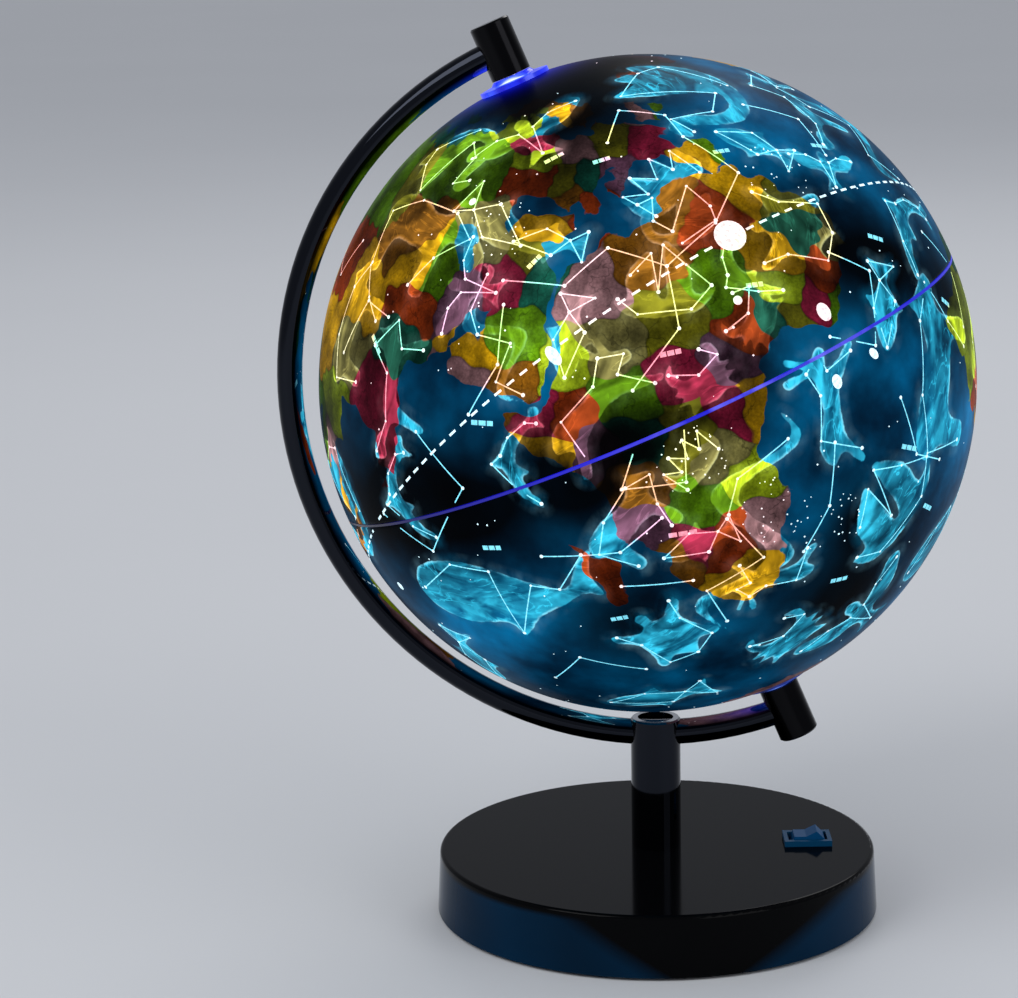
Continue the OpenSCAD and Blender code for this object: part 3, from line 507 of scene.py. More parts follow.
# World map: the countries are printed in transparent inks on a blue sea. Coasts are places on the map, in
# degrees east and north, and each country is the land nearest to its own place.
coasts = {
    "africa": [
        (-6, 36), (0, 36), (10, 37), (11, 34), (15, 32), (20, 31), (22, 33), (25, 32), (32, 31), (34, 28),
        (37, 21), (39, 15), (43, 11), (51, 12), (48, 5), (42, -2), (39, -6), (41, -15), (35, -20),
        (35, -24), (32, -29), (27, -34), (20, -35), (18, -32), (15, -27), (12, -18), (14, -10), (12, -5),
        (9, 0), (10, 4), (5, 5), (1, 6), (-4, 5), (-8, 4), (-13, 9), (-17, 14), (-17, 21), (-13, 28),
        (-10, 31)],
    "europe and asia": [
        (-9, 37), (-9, 43), (-2, 43), (-1, 46), (-4, 48), (2, 51), (8, 54), (8, 57), (11, 56), (13, 54),
        (19, 54), (22, 57), (24, 59), (30, 60), (23, 61), (22, 63), (25, 65), (21, 64), (17, 61),
        (18, 59), (13, 56), (11, 59), (7, 58), (5, 61), (10, 64), (15, 68), (22, 71), (31, 70), (40, 67),
        (35, 66), (38, 64), (44, 66), (46, 68), (54, 68), (60, 69), (68, 68), (72, 73), (82, 73),
        (90, 75), (104, 78), (113, 74), (130, 71), (141, 73), (160, 70), (178, 69), (189, 66), (178, 63),
        (170, 60), (163, 59), (162, 56), (157, 51), (156, 57), (163, 62), (155, 59), (142, 59), (136, 54),
        (141, 52), (140, 48), (132, 43), (128, 40), (129, 36), (126, 35), (125, 39), (121, 40), (118, 38),
        (122, 37), (119, 35), (122, 31), (121, 28), (117, 23), (110, 21), (106, 20), (109, 12), (105, 9),
        (101, 13), (99, 9), (103, 4), (104, 1), (101, 3), (98, 9), (98, 16), (94, 16), (91, 22), (87, 21),
        (80, 15), (80, 11), (77, 8), (73, 16), (72, 21), (67, 25), (57, 26), (56, 27), (50, 30), (48, 30),
        (51, 25), (56, 26), (60, 22), (55, 17), (45, 13), (43, 13), (39, 21), (35, 28), (34, 31),
        (36, 36), (27, 37), (26, 40), (29, 41), (35, 42), (41, 41), (39, 44), (37, 46), (31, 46),
        (28, 44), (28, 41), (23, 41), (24, 38), (22, 37), (20, 40), (19, 42), (13, 45), (14, 43),
        (18, 40), (16, 38), (15, 40), (10, 44), (6, 43), (3, 42), (0, 39), (-2, 37), (-5, 36)],
    "north america": [
        (-168, 66), (-156, 71), (-128, 70), (-110, 68), (-94, 72), (-82, 68), (-94, 59), (-81, 52),
        (-78, 60), (-65, 58), (-56, 52), (-66, 49), (-60, 46), (-70, 43), (-74, 40), (-76, 35), (-81, 31),
        (-80, 25), (-83, 29), (-90, 29), (-97, 27), (-97, 21), (-91, 18), (-87, 21), (-88, 16), (-83, 11),
        (-78, 9), (-83, 8), (-92, 15), (-105, 20), (-110, 23), (-115, 31), (-120, 34), (-124, 40),
        (-124, 48), (-133, 56), (-150, 60), (-162, 55), (-158, 58), (-166, 62)],
    "south america": [
        (-78, 8), (-72, 12), (-62, 10), (-51, 4), (-48, -1), (-35, -6), (-39, -14), (-41, -22),
        (-48, -27), (-54, -34), (-58, -38), (-65, -42), (-68, -50), (-66, -55), (-73, -52), (-74, -42),
        (-71, -30), (-70, -18), (-76, -14), (-81, -5), (-79, 1), (-77, 5)],
    "australia": [
        (114, -22), (122, -18), (130, -12), (136, -12), (140, -17), (142, -11), (146, -19), (153, -26),
        (150, -37), (144, -39), (138, -35), (131, -31), (124, -33), (115, -34)],
    "greenland": [(-45, 60), (-22, 70), (-20, 80), (-35, 83), (-60, 80), (-70, 77), (-55, 70), (-52, 64)],
    "arctic islands": [
        (-62, 66), (-68, 70), (-80, 74), (-90, 81), (-65, 82), (-76, 76), (-90, 73), (-72, 64)],
    "britain": [(-5, 50), (1, 51), (0, 53), (-2, 56), (-3, 58.5), (-6, 57), (-3, 54), (-5, 52)],
    "ireland": [(-10, 52), (-6, 52), (-6, 55), (-9, 54)],
    "iceland": [(-22, 64), (-14, 65), (-18, 66.5), (-23, 66)],
    "northern island": [(52, 71), (57, 71), (68, 77), (58, 76)],
    "madagascar": [(49, -12), (50, -16), (47, -25), (44, -24), (44, -17)],
    "ceylon": [(80, 9.5), (82, 7), (80, 6)],
    "japan": [
        (131, 33), (136, 34), (140, 36), (142, 40), (145, 43), (141, 45), (140, 41), (137, 37),
        (131, 34)],
    "sumatra and java": [(95, 5), (104, -2), (107, -6), (114, -8), (106, -7), (101, -3), (97, 1)],
    "borneo": [(109, 1), (117, 7), (119, 5), (116, -4), (110, -3)],
    "philippines": [(121, 18), (124, 13), (126, 7), (122, 7), (120, 14)],
    "new guinea": [(131, -1), (141, -3), (150, -10), (143, -9), (138, -8), (133, -4)],
    "new zealand": [(173, -35), (178, -38), (174, -42), (167, -46), (172, -41)],
    "cuba": [(-85, 22), (-77, 20), (-74, 20), (-80, 23)],
}
inland_sea = [(47, 45), (53, 46), (53, 41), (54, 37), (50, 37), (49, 41)]
inland_sea_middle = (50, 41)
inland_sea_reach = (20, 15)


def screen(red, green, blue):
    """A colour as a screen shows it, from 0 to 255, in the renderer's linear values."""
    return tuple(((v / 255 + 0.055) / 1.055) ** 2.4 if v > 10 else v / 3295 for v in (red, green, blue))


inks = {
    "green": (screen(80, 122, 8), [
        (9, 18), (45, 24), (27, -14), (30, 7), (-9, 6), (45, 57), (60, 61), (90, 62), (105, 62),
        (130, 62), (160, 66), (59, 39), (-8, 53), (-8, 40), (106, 17), (146, -33), (-115, 42), (-98, 40),
        (-82, 36), (-79, -2)]),
    "olive": (screen(104, 102, 16), [
        (18, 15), (-13, 25), (-1, 8), (24, -2), (38, 35), (10, 51), (25, 46), (80, 62), (-65, -35),
        (-68, -47)]),
    "khaki": (screen(120, 114, 62), [(30, 16), (-15, 14), (44, 42), (88, 31), (-73, 4), (20, -8)]),
    "brown": (screen(118, 74, 12), [
        (17, 27), (35, -6), (34, -21), (47, 15), (67, 48), (9, 61), (20, 69), (25, 43), (101, -1),
        (110, -7), (114, 0), (137, -4), (134, -30), (9, 34)]),
    "rust": (screen(142, 52, 14), [
        (3, 28), (8, 9), (40, 8), (24, -22), (-11, 11), (47, -19), (66, 34), (31, 49), (22, 39),
        (-19, 65), (104, 47), (122, 12), (-103, 24), (-66, 7), (-58, -23)]),
    "crimson": (screen(138, 28, 58), [
        (78, 22), (77, 13), (44, 33), (44, 10), (21, 7), (16, -1), (30, -19), (-6, 8), (2, 46), (25, 57),
        (144, -23), (145, -6), (-86, 14), (-71, -32)]),
    "plum": (screen(98, 62, 84), [
        (54, 32), (38, 1), (12, 6), (37, -14), (13, 43), (138, 37), (-79, 22), (-65, -17), (-42, 72)]),
    "rose": (screen(148, 108, 112), [
        (29, 26), (57, 21), (17, -21), (-2, 54), (20, 52), (101, 15), (121, -25), (-152, 65), (-75, -10),
        (0, -85), (90, -80), (-90, -80)]),
    "amber": (screen(196, 148, 10), [
        (34, 39), (-7, 32), (-3, 18), (24, -30), (46, 4), (12, -1), (-4, 40), (16, 62), (64, 42),
        (85, 38), (104, 33), (120, 43), (102, 4), (174, -41), (-120, 58), (-100, 57), (-75, 52),
        (-75, 73), (-90, 77), (-56, -33), (54, 24)]),
    "lime": (screen(146, 168, 22), [
        (17, -13), (-1, 12), (39, 15), (28, 53), (26, 64), (96, 21), (133, -20), (-52, -10), (-62, -5),
        (-44, -8)]),
    "teal": (screen(16, 80, 64), [
        (-10, 20), (2, 9), (32, 1), (36, 31), (69, 29), (20, 44), (127, 38), (-57, 4), (118, 28),
        (62, 74)]),
}


def inside_by(outline, x, y, squeeze=1.0):
    """How far inside a closed outline each point lies, in the outline's unit. It is negative outside."""
    nearest = np.full(len(x), 1e9)
    inside = np.zeros(len(x), bool)
    for (x0, y0), (x1, y1) in zip(outline, outline[1:] + outline[:1]):
        start_x, start_y = (x0 - x) * squeeze, y0 - y
        along_x, along_y = (x1 - x0) * squeeze, y1 - y0
        share = np.clip(-(start_x * along_x + start_y * along_y) / (along_x**2 + along_y**2), 0, 1)
        nearest = np.minimum(nearest, np.hypot(start_x + share * along_x, start_y + share * along_y))
        inside ^= ((y0 > y) != (y1 > y)) & (x < x0 + (x1 - x0) * (y - y0) / ((y1 - y0) or 1))
    return np.where(inside, nearest, -nearest)


def directions(east, north):
    """Unit vectors in the globe's own frame for places on the map, in degrees."""
    around = np.radians(east) * east_is + prime_meridian
    rise = np.radians(north)
    return np.stack([np.cos(rise) * np.cos(around), np.cos(rise) * np.sin(around), np.sin(rise)], -1)


def map_places(unit):
    """Degrees east and north of unit vectors in the globe's own frame."""
    around = np.arctan2(unit[:, 1], unit[:, 0])
    east = np.degrees((around - prime_meridian) * east_is)
    return (east + 180) % 360 - 180, np.degrees(np.arcsin(np.clip(unit[:, 2], -1, 1)))


def wander(a, b):
    """A small wave with three lengths, in degrees, that makes coasts and borders run unevenly."""
    waves = 0.7 * np.sin(0.37 * a + 1.3) + 0.45 * np.sin(0.9 * a + 0.55 * b)
    return waves + 0.3 * np.sin(1.9 * b - 1.1 * a)


map_degree = math.radians(1) * shell_r / mm
polar_coast = -71
ink_places = {name: directions(*np.array(places, float).T) for name, (_, places) in inks.items()}


def ink_nearness(unit):
    """For each ink, minus the distance in millimetres to the nearest place that is printed in it."""
    return {name: -np.arccos(np.clip((unit @ places.T).max(axis=1), -1, 1)) * shell_r / mm
            for name, places in ink_places.items()}


def shore_distance(east, north):
    """Millimetres inland from the nearest coast. It is negative at sea."""
    margin = 9
    found = np.maximum(polar_coast - north + 2.5 * np.sin(np.radians(3 * east)), -margin)
    for outline in coasts.values():
        xs, ys = zip(*outline)
        middle = (min(xs) + max(xs)) / 2
        local = middle + (east - middle + 180) % 360 - 180
        near = (local > min(xs) - 2 * margin) & (local < max(xs) + 2 * margin)
        near &= (north > min(ys) - margin) & (north < max(ys) + margin)
        squeeze = np.cos(np.radians(north[near]))
        found[near] = np.maximum(found[near], inside_by(outline, local[near], north[near], squeeze))
    near = abs(east - inland_sea_middle[0]) < inland_sea_reach[0]
    near &= abs(north - inland_sea_middle[1]) < inland_sea_reach[1]
    lake = inside_by(inland_sea, east[near], north[near], np.cos(np.radians(north[near])))
    found[near] = np.minimum(found[near], -lake)
    return np.clip(found, -margin, margin) * map_degree


def map_layers(unit):
    """The map at some points of the shell: how far inland they are, and how near each ink is."""
    east, north = map_places(unit)
    east, north = east + wander(north, east), north + wander(east + 40, north)
    return {"shore": shore_distance(east, north), **ink_nearness(directions(east, north))}


# Light behind the print: it is painted uneven, so some regions are darker and some lighter. Each row is a
# place on the map in degrees, how far it reaches, and how much lighter or darker it gets there.
even_light = 0.72
least_light, most_light = 0.05, 1.2
light_patches = [
    (0, 70, 15, -0.85), (-40, 82, 14, -0.7), (-26, 60, 8, -0.5), (43, -1, 10, -0.85), (75, 2, 14, -0.85),
    (60, -2, 9, -0.5), (31, 0, 7, -0.5), (12, 4, 7, -0.45), (-13, 15, 11, -0.6), (-24, 7, 9, -0.65),
    (-39, -4, 11, -0.65), (5, -44, 15, -0.7), (49, -29, 12, -0.6), (-2, -28, 8, -0.5), (18, 58, 10, -0.35),
    (62, 52, 14, -0.35), (5, 28, 12, 0.2), (28, 21, 12, 0.1), (46, 24, 9, 0.3), (75, -20, 13, 0.4),
    (-30, 40, 20, 0.35), (-24, -16, 13, 0.35), (40, 12, 6, 0.2), (20, -14, 9, 0.1), (-45, -30, 14, 0.3),
    (100, 5, 18, -0.5), (150, 10, 24, 0.25), (180, 45, 20, -0.5), (-150, 20, 24, 0.2), (-120, -20, 18, -0.5),
    (-90, 5, 16, 0.15), (-80, 45, 24, 0.1), (-130, -50, 22, -0.4), (100, -45, 20, -0.45), (140, -30, 18, 0.1),
    (160, -60, 20, -0.3),
]


def light_behind(unit):
    total = np.full(len(unit), even_light)
    for east, north, reach, change in light_patches:
        angle = np.degrees(np.arccos(np.clip(unit @ directions(east, north), -1, 1)))
        total += change * np.exp(-(angle / reach) ** 2)
    return np.clip(total, least_light, most_light)


# Sky figures: animals and things in pale light, drawn from simple outlines in units of their own size.
# Each has a chain of stars, given as the numbers of the outline's points that it joins.
def sketch(points):
    """An outline whose points are given in hundredths of the figure's size."""
    return [(x / 100, y / 100) for x, y in points]


def mirrored(half):
    """A closed outline from its right half, which starts and ends on the middle line."""
    return sketch(half + [(-x, y) for x, y in half[-2:0:-1]])


def serpent():
    """A winding ribbon, thin at both ends."""
    spine = [(-1 + i / 8, 0.28 * math.sin(i * 0.75)) for i in range(17)]
    width = [0.02 + 0.11 * math.sin(math.pi * i / 16) for i in range(17)]
    upper = [(x, y + w) for (x, y), w in zip(spine, width)]
    lower = [(x, y - w) for (x, y), w in zip(spine, width)]
    return upper + lower[::-1]


motifs = {
    "whale": (sketch([
        (-100, 5), (-85, 30), (-45, 42), (0, 36), (40, 18), (68, 10), (85, 32), (105, 45), (95, 20),
        (100, -5), (82, 0), (60, -8), (30, -20), (5, -42), (-5, -25), (-50, -28), (-85, -18)]),
        [0, 2, 3, 13, 4, 5, 7]),
    "swan": (sketch([
        (-75, 55), (-60, 72), (-42, 66), (-40, 40), (-50, 10), (-42, -15), (-15, -20), (-5, 10), (10, 50),
        (35, 85), (45, 50), (70, 60), (75, 30), (95, 25), (80, -5), (50, -35), (0, -50), (-45, -42),
        (-70, -15), (-68, 20), (-58, 48)]), [0, 2, 4, 6, 9, 12, 14, 16]),
    "hare": (sketch([
        (-95, -5), (-85, 15), (-60, 25), (-20, 20), (15, 25), (40, 40), (25, 75), (38, 85), (52, 50),
        (60, 80), (72, 78), (66, 42), (85, 25), (80, 10), (55, 10), (70, -15), (95, -35), (85, -42),
        (50, -25), (20, -12), (-20, -15), (-50, -25), (-80, -60), (-95, -55), (-75, -20)]),
        [22, 2, 4, 8, 12, 14, 17]),
    "fish": (sketch([
        (-95, 0), (-60, 28), (-15, 38), (10, 55), (15, 33), (50, 12), (90, 40), (80, 0), (90, -40),
        (50, -12), (10, -30), (-5, -50), (-20, -32), (-60, -24)]), [0, 2, 5, 6, 8, 5, 10, 0]),
    "eagle": (mirrored([
        (0, 55), (13, 42), (14, 20), (50, 40), (85, 55), (102, 40), (88, 20), (70, 2), (50, -8),
        (20, -12), (14, -38), (30, -70), (0, -60)]), [5, 3, 2, 12, 22, 21, 19]),
    "turtle": (mirrored([
        (0, 85), (13, 75), (12, 55), (35, 50), (75, 75), (80, 55), (55, 25), (60, -15), (75, -50),
        (60, -60), (35, -45), (12, -60), (0, -80)]), [4, 6, 9, 12, 15, 18, 20]),
    "crown": (sketch([
        (-80, -50), (-85, 40), (-45, 0), (-35, 60), (0, 10), (35, 60), (45, 0), (85, 40), (80, -50)]),
        [0, 1, 2, 3, 4, 5, 6, 7, 8]),
    "ship": (sketch([
        (-90, -25), (-55, -60), (50, -60), (95, -15), (55, -25), (50, 30), (10, 75), (5, -20), (-10, -20),
        (-15, 60), (-60, 20), (-65, -20)]), [0, 1, 2, 3, 5, 6, 8, 9, 10]),
    "dolphin": (sketch([
        (-95, -25), (-80, 0), (-55, 20), (-10, 40), (5, 65), (20, 40), (55, 15), (80, -30), (100, -40),
        (95, -60), (75, -55), (55, -70), (60, -40), (35, -5), (0, 5), (-20, -15), (-30, 0), (-60, -10),
        (-80, -25)]), [0, 2, 4, 5, 6, 7, 10]),
    "fox": (sketch([
        (-100, 35), (-70, 30), (-50, 10), (-20, 18), (20, 15), (45, 30), (55, 55), (65, 35), (75, 50),
        (78, 28), (100, 10), (75, 5), (60, -10), (75, -50), (65, -55), (45, -15), (10, -10), (-20, -15),
        (-40, -60), (-52, -58), (-45, -10), (-70, 10), (-95, 10)]), [0, 2, 4, 6, 10, 12, 14]),
    "bear": (sketch([
        (-90, 10), (-75, 35), (-30, 42), (20, 35), (50, 50), (60, 62), (72, 50), (98, 30), (90, 15),
        (65, 10), (60, -15), (65, -60), (40, -62), (35, -20), (0, -15), (-35, -20), (-40, -60),
        (-65, -62), (-70, -15)]), [17, 0, 2, 4, 7, 10, 12]),
    "crab": (mirrored([
        (0, 30), (30, 35), (45, 55), (35, 80), (60, 70), (65, 45), (55, 25), (80, 15), (55, 5), (80, -10),
        (50, -15), (65, -45), (35, -35), (0, -40)]), [3, 5, 0, 22, 24]),
    "serpent": (serpent(), [0, 3, 6, 9, 12, 15]),
}

# Which figure lies where: degrees round the globe from the arm's far side, degrees north, size in
# millimetres, and turn in degrees.
sky_figures = [
    ("swan", -32, 52, 27, 70), ("dolphin", -17, 10, 20, 30), ("bear", -26, -14, 30, 62),
    ("ship", -46, -30, 22, 30), ("fox", -12, 38, 22, 60), ("whale", -123, -18, 34, -14),
    ("turtle", -98, -36, 16, 20), ("fish", -148, -30, 18, 60), ("crab", -74, -50, 16, 25),
    ("eagle", -50, -54, 22, 40), ("fish", -116, -54, 19, -15), ("serpent", -75, -22, 36, 62),
    ("crown", -62, 38, 14, 20), ("hare", -90, 8, 20, 25), ("fish", -99, 45, 17, 120),
    ("bear", -122, 48, 25, -35), ("fox", -128, 22, 22, 70), ("turtle", -45, 20, 17, 60),
    ("eagle", -84, 60, 19, 10), ("serpent", -103, 25, 22, 100), ("swan", -156, 4, 25, 80),
    ("crab", -60, 10, 13, 45), ("fish", -36, 2, 15, 60), ("whale", -12, -46, 27, 30),
    ("ship", -72, 22, 16, -20), ("dolphin", -106, 4, 15, 80), ("crown", -80, -6, 10, 30),
    ("eagle", -28, 26, 13, -30), ("crab", -73, 4, 13, 10), ("swan", -64, 30, 15, -20),
    ("dolphin", -58, 18, 14, 110), ("fish", -90, 20, 14, 60), ("eagle", -106, 34, 16, 60),
    ("hare", -74, -32, 14, 160), ("fish", -38, 36, 14, -60), ("bear", -93, -12, 17, 30),
    ("serpent", -4, 34, 34, 84), ("swan", -112, 64, 20, 150), ("serpent", 0, -24, 40, 96),
    ("bear", -142, 34, 21, 60), ("fish", -88, 36, 13, -30), ("dolphin", -132, 4, 17, 100),
    ("hare", -54, -8, 19, 70), ("fish", -84, -20, 13, 0), ("whale", 60, -20, 30, 10),
    ("dolphin", 38, 22, 22, -20), ("ship", 95, -38, 22, 0), ("bear", 82, 44, 26, 0),
    ("eagle", 122, 4, 26, 15), ("turtle", 150, -32, 20, 0), ("crown", 50, 55, 17, -10),
    ("crab", 106, 24, 18, 0), ("fish", 140, 46, 20, 30), ("hare", 25, -42, 22, -20),
    ("swan", 168, 14, 25, 0), ("fox", 56, 4, 23, 10), ("serpent", 92, -6, 30, 20),
    ("fish", 172, -58, 18, 0), ("dolphin", 128, -16, 18, -30), ("swan", 12, 4, 22, 70),
]


def rounded_outline(points, steps=4):
    """A smooth closed curve through the points of an outline."""
    p = np.array(points, float)
    before, after, later = np.roll(p, 1, 0), np.roll(p, -1, 0), np.roll(p, -2, 0)
    curve = []
    for t in np.arange(steps) / steps:
        curve.append(0.5 * (2 * p + (after - before) * t + (2 * before - 5 * p + 4 * after - later) * t**2
                            + (3 * p - before - 3 * after + later) * t**3))
    return [tuple(point) for point in np.stack(curve, 1).reshape(-1, 2)]


def chart_axes(around, north, turn):
    """The middle of a figure and the directions of its own two axes on the globe."""
    a, b, c = math.radians(around), math.radians(north), math.radians(turn)
    middle = np.array([math.cos(b) * math.cos(a), math.cos(b) * math.sin(a), math.sin(b)])
    side = np.array([-math.sin(a), math.cos(a), 0])
    up = np.cross(middle, side)
    return middle, side * math.cos(c) + up * math.sin(c), up * math.cos(c) - side * math.sin(c)


def figure_layers(unit, figures, name):
    """How far inside the nearest of some sky figures, and how far along and across it, in millimetres."""
    reach = 5.0
    found = np.tile([-reach, 0.0, 0.0], (len(unit), 1))
    for motif, around, north, size, turn in figures:
        middle, side, up = chart_axes(around, north, turn)
        near = np.flatnonzero(unit @ middle > math.cos((1.15 * size + reach) * mm / shell_r))
        flat = unit[near] / (unit[near] @ middle)[:, None] * (shell_r / mm)
        along, across = flat @ side, flat @ up
        inside = inside_by(rounded_outline(motifs[motif][0]), along / size, across / size) * size
        nearest = inside > found[near, 0]
        found[near[nearest]] = np.stack([inside, along + around, across + north], 1)[nearest]
    return dict(zip((name, name + " along", name + " across"), found.T))


# Painted light: the blue bushes' glow is painted on the shell round each pole, fading over this many
# millimetres.
painted_glow_reach = 13.0
for shell, points in ((north_print, north_points), (south_print, south_points)):
    unit = points / np.linalg.norm(points, axis=1)[:, None]
    from_pole = np.hypot(points[:, 0], points[:, 1]) / mm
    layers = {**map_layers(unit), "light": light_behind(unit),
              "painted_bush_glow": np.exp(-(from_pole / painted_glow_reach) ** 2),
              **figure_layers(unit, sky_figures[::2], "figure"),
              **figure_layers(unit, sky_figures[1::2], "second figure")}
    for name, values in layers.items():
        attribute = shell.data.attributes.new(name, "FLOAT", "POINT")
        attribute.data.foreach_set("value", values.astype(np.float32))


# The shells' finish: smooth plastic with the print on it. Coasts are sharp, borders are soft and darker,
# and the sky figures are smoky with brighter rims and folds. All of it glows with the light behind it.
def layer(tree, name, output="Fac"):
    """A value or colour that the mesh holds at its points."""
    node = tree.nodes.new("ShaderNodeAttribute")
    node.attribute_name = name
    return node.outputs[output]


def brighten(tree, colour, factor, plus=(0, 0, 0)):
    """A colour times a factor, with a little more added."""
    node = tree.nodes.new("ShaderNodeVectorMath")
    node.operation = "MULTIPLY_ADD"
    tree.links.new(colour, node.inputs[0])
    if isinstance(factor, bpy.types.NodeSocket):
        tree.links.new(factor, node.inputs[1])
    else:
        node.inputs[1].default_value = (factor, factor, factor)
    node.inputs[2].default_value = plus
    return node.outputs[0]


def country_colour(tree):
    """The ink of the nearest country, and how far the nearest border is, in millimetres."""
    names = list(inks)
    best = layer(tree, names[0])
    second = reckon(tree, "SUBTRACT", best, 100.0)
    colour = inks[names[0]][0]
    for name in names[1:]:
        near = layer(tree, name)
        ahead = spread(tree, reckon(tree, "SUBTRACT", near, best), 0.0, 1.0, -0.25, 0.25)
        colour = blend(tree, ahead, colour, inks[name][0])
        second = reckon(tree, "MAXIMUM", second, reckon(tree, "MINIMUM", best, near))
        best = reckon(tree, "MAXIMUM", best, near)
    return colour, reckon(tree, "SUBTRACT", best, second)


def folds(tree, name, scale, detail):
    """Soft folds that run along a sky figure, with this many across a millimetre."""
    place = tree.nodes.new("ShaderNodeCombineXYZ")
    noise = tree.nodes.new("ShaderNodeTexNoise")
    tree.links.new(times(tree, layer(tree, name + " along"), 0.4), place.inputs[0])
    tree.links.new(layer(tree, name + " across"), place.inputs[1])
    tree.links.new(place.outputs[0], noise.inputs["Vector"])
    noise.inputs["Scale"].default_value = scale
    noise.inputs["Detail"].default_value = detail
    noise.inputs["Distortion"].default_value = 1.2
    return noise.outputs["Fac"]


def figure_light(tree, name, fine, blotch, veil, smoke):
    """How much a sky figure covers the map, how bright it is, and how much of its edge shines."""
    inside = reckon(tree, "ADD", layer(tree, name), times(tree, fine, 1.2))
    cover = spread(tree, inside, 0.0, 1.0, -0.1, 0.35)
    patches = spread(tree, blotch, 0.0, 1.0, 0.42, 0.6)
    fold = spread(tree, folds(tree, name, 0.13, 2.0), 0.22, 0.85, 0.36, 0.62)
    body = reckon(tree, "ADD", fold, spread(tree, fine, -0.1, 0.1, -0.25, 0.25))
    body = times(tree, body, spread(tree, veil, 0.55, 1.15, 0.4, 0.6))
    edge = times(tree, spread(tree, inside, 1.0, 0.0, 0.2, 2.2), patches, 1.1)
    wisp = spread(tree, gap(tree, folds(tree, name, 0.16, 4.0), 0.52), 1.0, 0.0, 0.0, 0.03)
    body = reckon(tree, "ADD", reckon(tree, "MAXIMUM", body, edge), times(tree, wisp, patches, 0.45))
    rim = times(tree, spread(tree, inside, 1.0, 0.0, 0.1, 1.0), patches)
    halo = times(tree, spread(tree, layer(tree, name), 0.0, 0.2, -3.5, 0.0), smoke)
    return reckon(tree, "MAXIMUM", times(tree, cover, body), halo), rim


def shine_through(tree, shader, colour, share, dark):
    """Gives off a colour as light. The body is dark and takes up a share of that colour."""
    tree.links.new(colour, shader.inputs["Emission Color"])
    shader.inputs["Emission Strength"].default_value = 1.0
    paint(tree, shader, share, dark, colour)


printed_shell, tree, shader = finish("printed_shell")
fine = spread(tree, grain(tree, 300.0, 5.0), -0.5, 0.5)
speckle = grain(tree, 1300.0, 2.0)
veil = grain(tree, 34.0, 5.0)
blotch = grain(tree, 110.0, 5.0)
streaks = grain(tree, 210.0, 6.0, stretch=(1.0, 0.3, 0.6))

country, border = country_colour(tree)
border_dark = spread(tree, border, 0.45, 1.0, 0.0, 1.3)
rivers = spread(tree, gap(tree, grain(tree, 62.0, 4.0), 0.5), 0.55, 1.0, 0.002, 0.007)
mottle = times(tree, spread(tree, blotch, 0.5, 1.45, 0.3, 0.7), spread(tree, speckle, 0.78, 1.22, 0.32, 0.68),
               rivers, spread(tree, streaks, 0.62, 1.06, 0.4, 0.6))
land_ink = brighten(tree, country, times(tree, border_dark, mottle))
sea_ink = blend(tree, spread(tree, veil, 0.0, 1.0, 0.3, 0.7), screen(0, 50, 88), screen(0, 94, 140))
inland = reckon(tree, "ADD", layer(tree, "shore"), times(tree, fine, 2.0))
on_land = spread(tree, inland, 0.0, 1.0, -0.12, 0.12)
uneven = times(tree, layer(tree, "light"), spread(tree, veil, 0.5, 1.3, 0.35, 0.68))
dim_map = brighten(tree, blend(tree, on_land, sea_ink, land_ink), reckon(tree, "POWER", uneven, 1.5))

smoke = spread(tree, streaks, 0.0, 1.0, 0.36, 0.66)
glow = dim_map
for name, strength in (("second figure", 0.9), ("figure", 1.1)):
    lit, rim = figure_light(tree, name, fine, blotch, veil, smoke)
    figure_sea = blend(tree, lit, screen(0, 100, 146), screen(58, 210, 246))
    figure_land = brighten(tree, country, spread(tree, lit, 1.5, 2.9), (0.02, 0.02, 0.01))
    figure_ink = blend(tree, on_land, figure_sea, figure_land)
    white_share = times(tree, rim, spread(tree, on_land, 0.4, 0.12))
    figure_ink = blend(tree, white_share, figure_ink, screen(196, 244, 250))
    glow = blend(tree, times(tree, lit, strength), glow, figure_ink)
# Painted light: the bush's blue glow painted on the shell round each pole.
glow = blend(tree, layer(tree, "painted_bush_glow"), glow, screen(10, 12, 196))
shine_through(tree, shader, glow, 0.2, (0.0005, 0.0007, 0.001))
roughen(tree, shader, 60.0, 0.28, 0.38)
shader.inputs["IOR"].default_value = 1.25
shader.inputs["Specular IOR Level"].default_value = 0.03
north_print.data.materials.append(printed_shell)
south_print.data.materials.append(printed_shell)


# Star chart: the constellations' lines and stars, the sun's yearly path, the moon and the label bars are a
# second, white print over the inks, a few hundredths of a millimetre high. It stops short of the seam.
chart_low = shell_r - 0.1 * mm
line_top = shell_r + 0.6 * print_h
star_top = shell_r + print_h
seam_gap = 1.3 * mm
longest_step = 2.0 * mm
ink_colours = np.array([colour for colour, _ in inks.values()])


def chart_tint(unit):
    """White print takes on some of the colour under it: warm over land and pale blue over the sea."""
    found = map_layers(unit)
    ink = ink_colours[np.argmax([found[name] for name in inks], axis=0)]
    warm = 0.3 + ink / ink.max(axis=1)[:, None] * 0.7
    sea = np.array(screen(128, 226, 248))
    return np.where(found["shore"][:, None] > 0, warm, sea)


def along(start, end):
    """Unit vectors from start to end, no further apart than the longest step."""
    angle = math.acos(min(1, float(start @ end)))
    steps = max(1, math.ceil(angle * shell_r / longest_step))
    share = np.linspace(0, angle, steps + 1)[:, None]
    return (np.sin(angle - share) * start + np.sin(share) * end) / math.sin(angle)


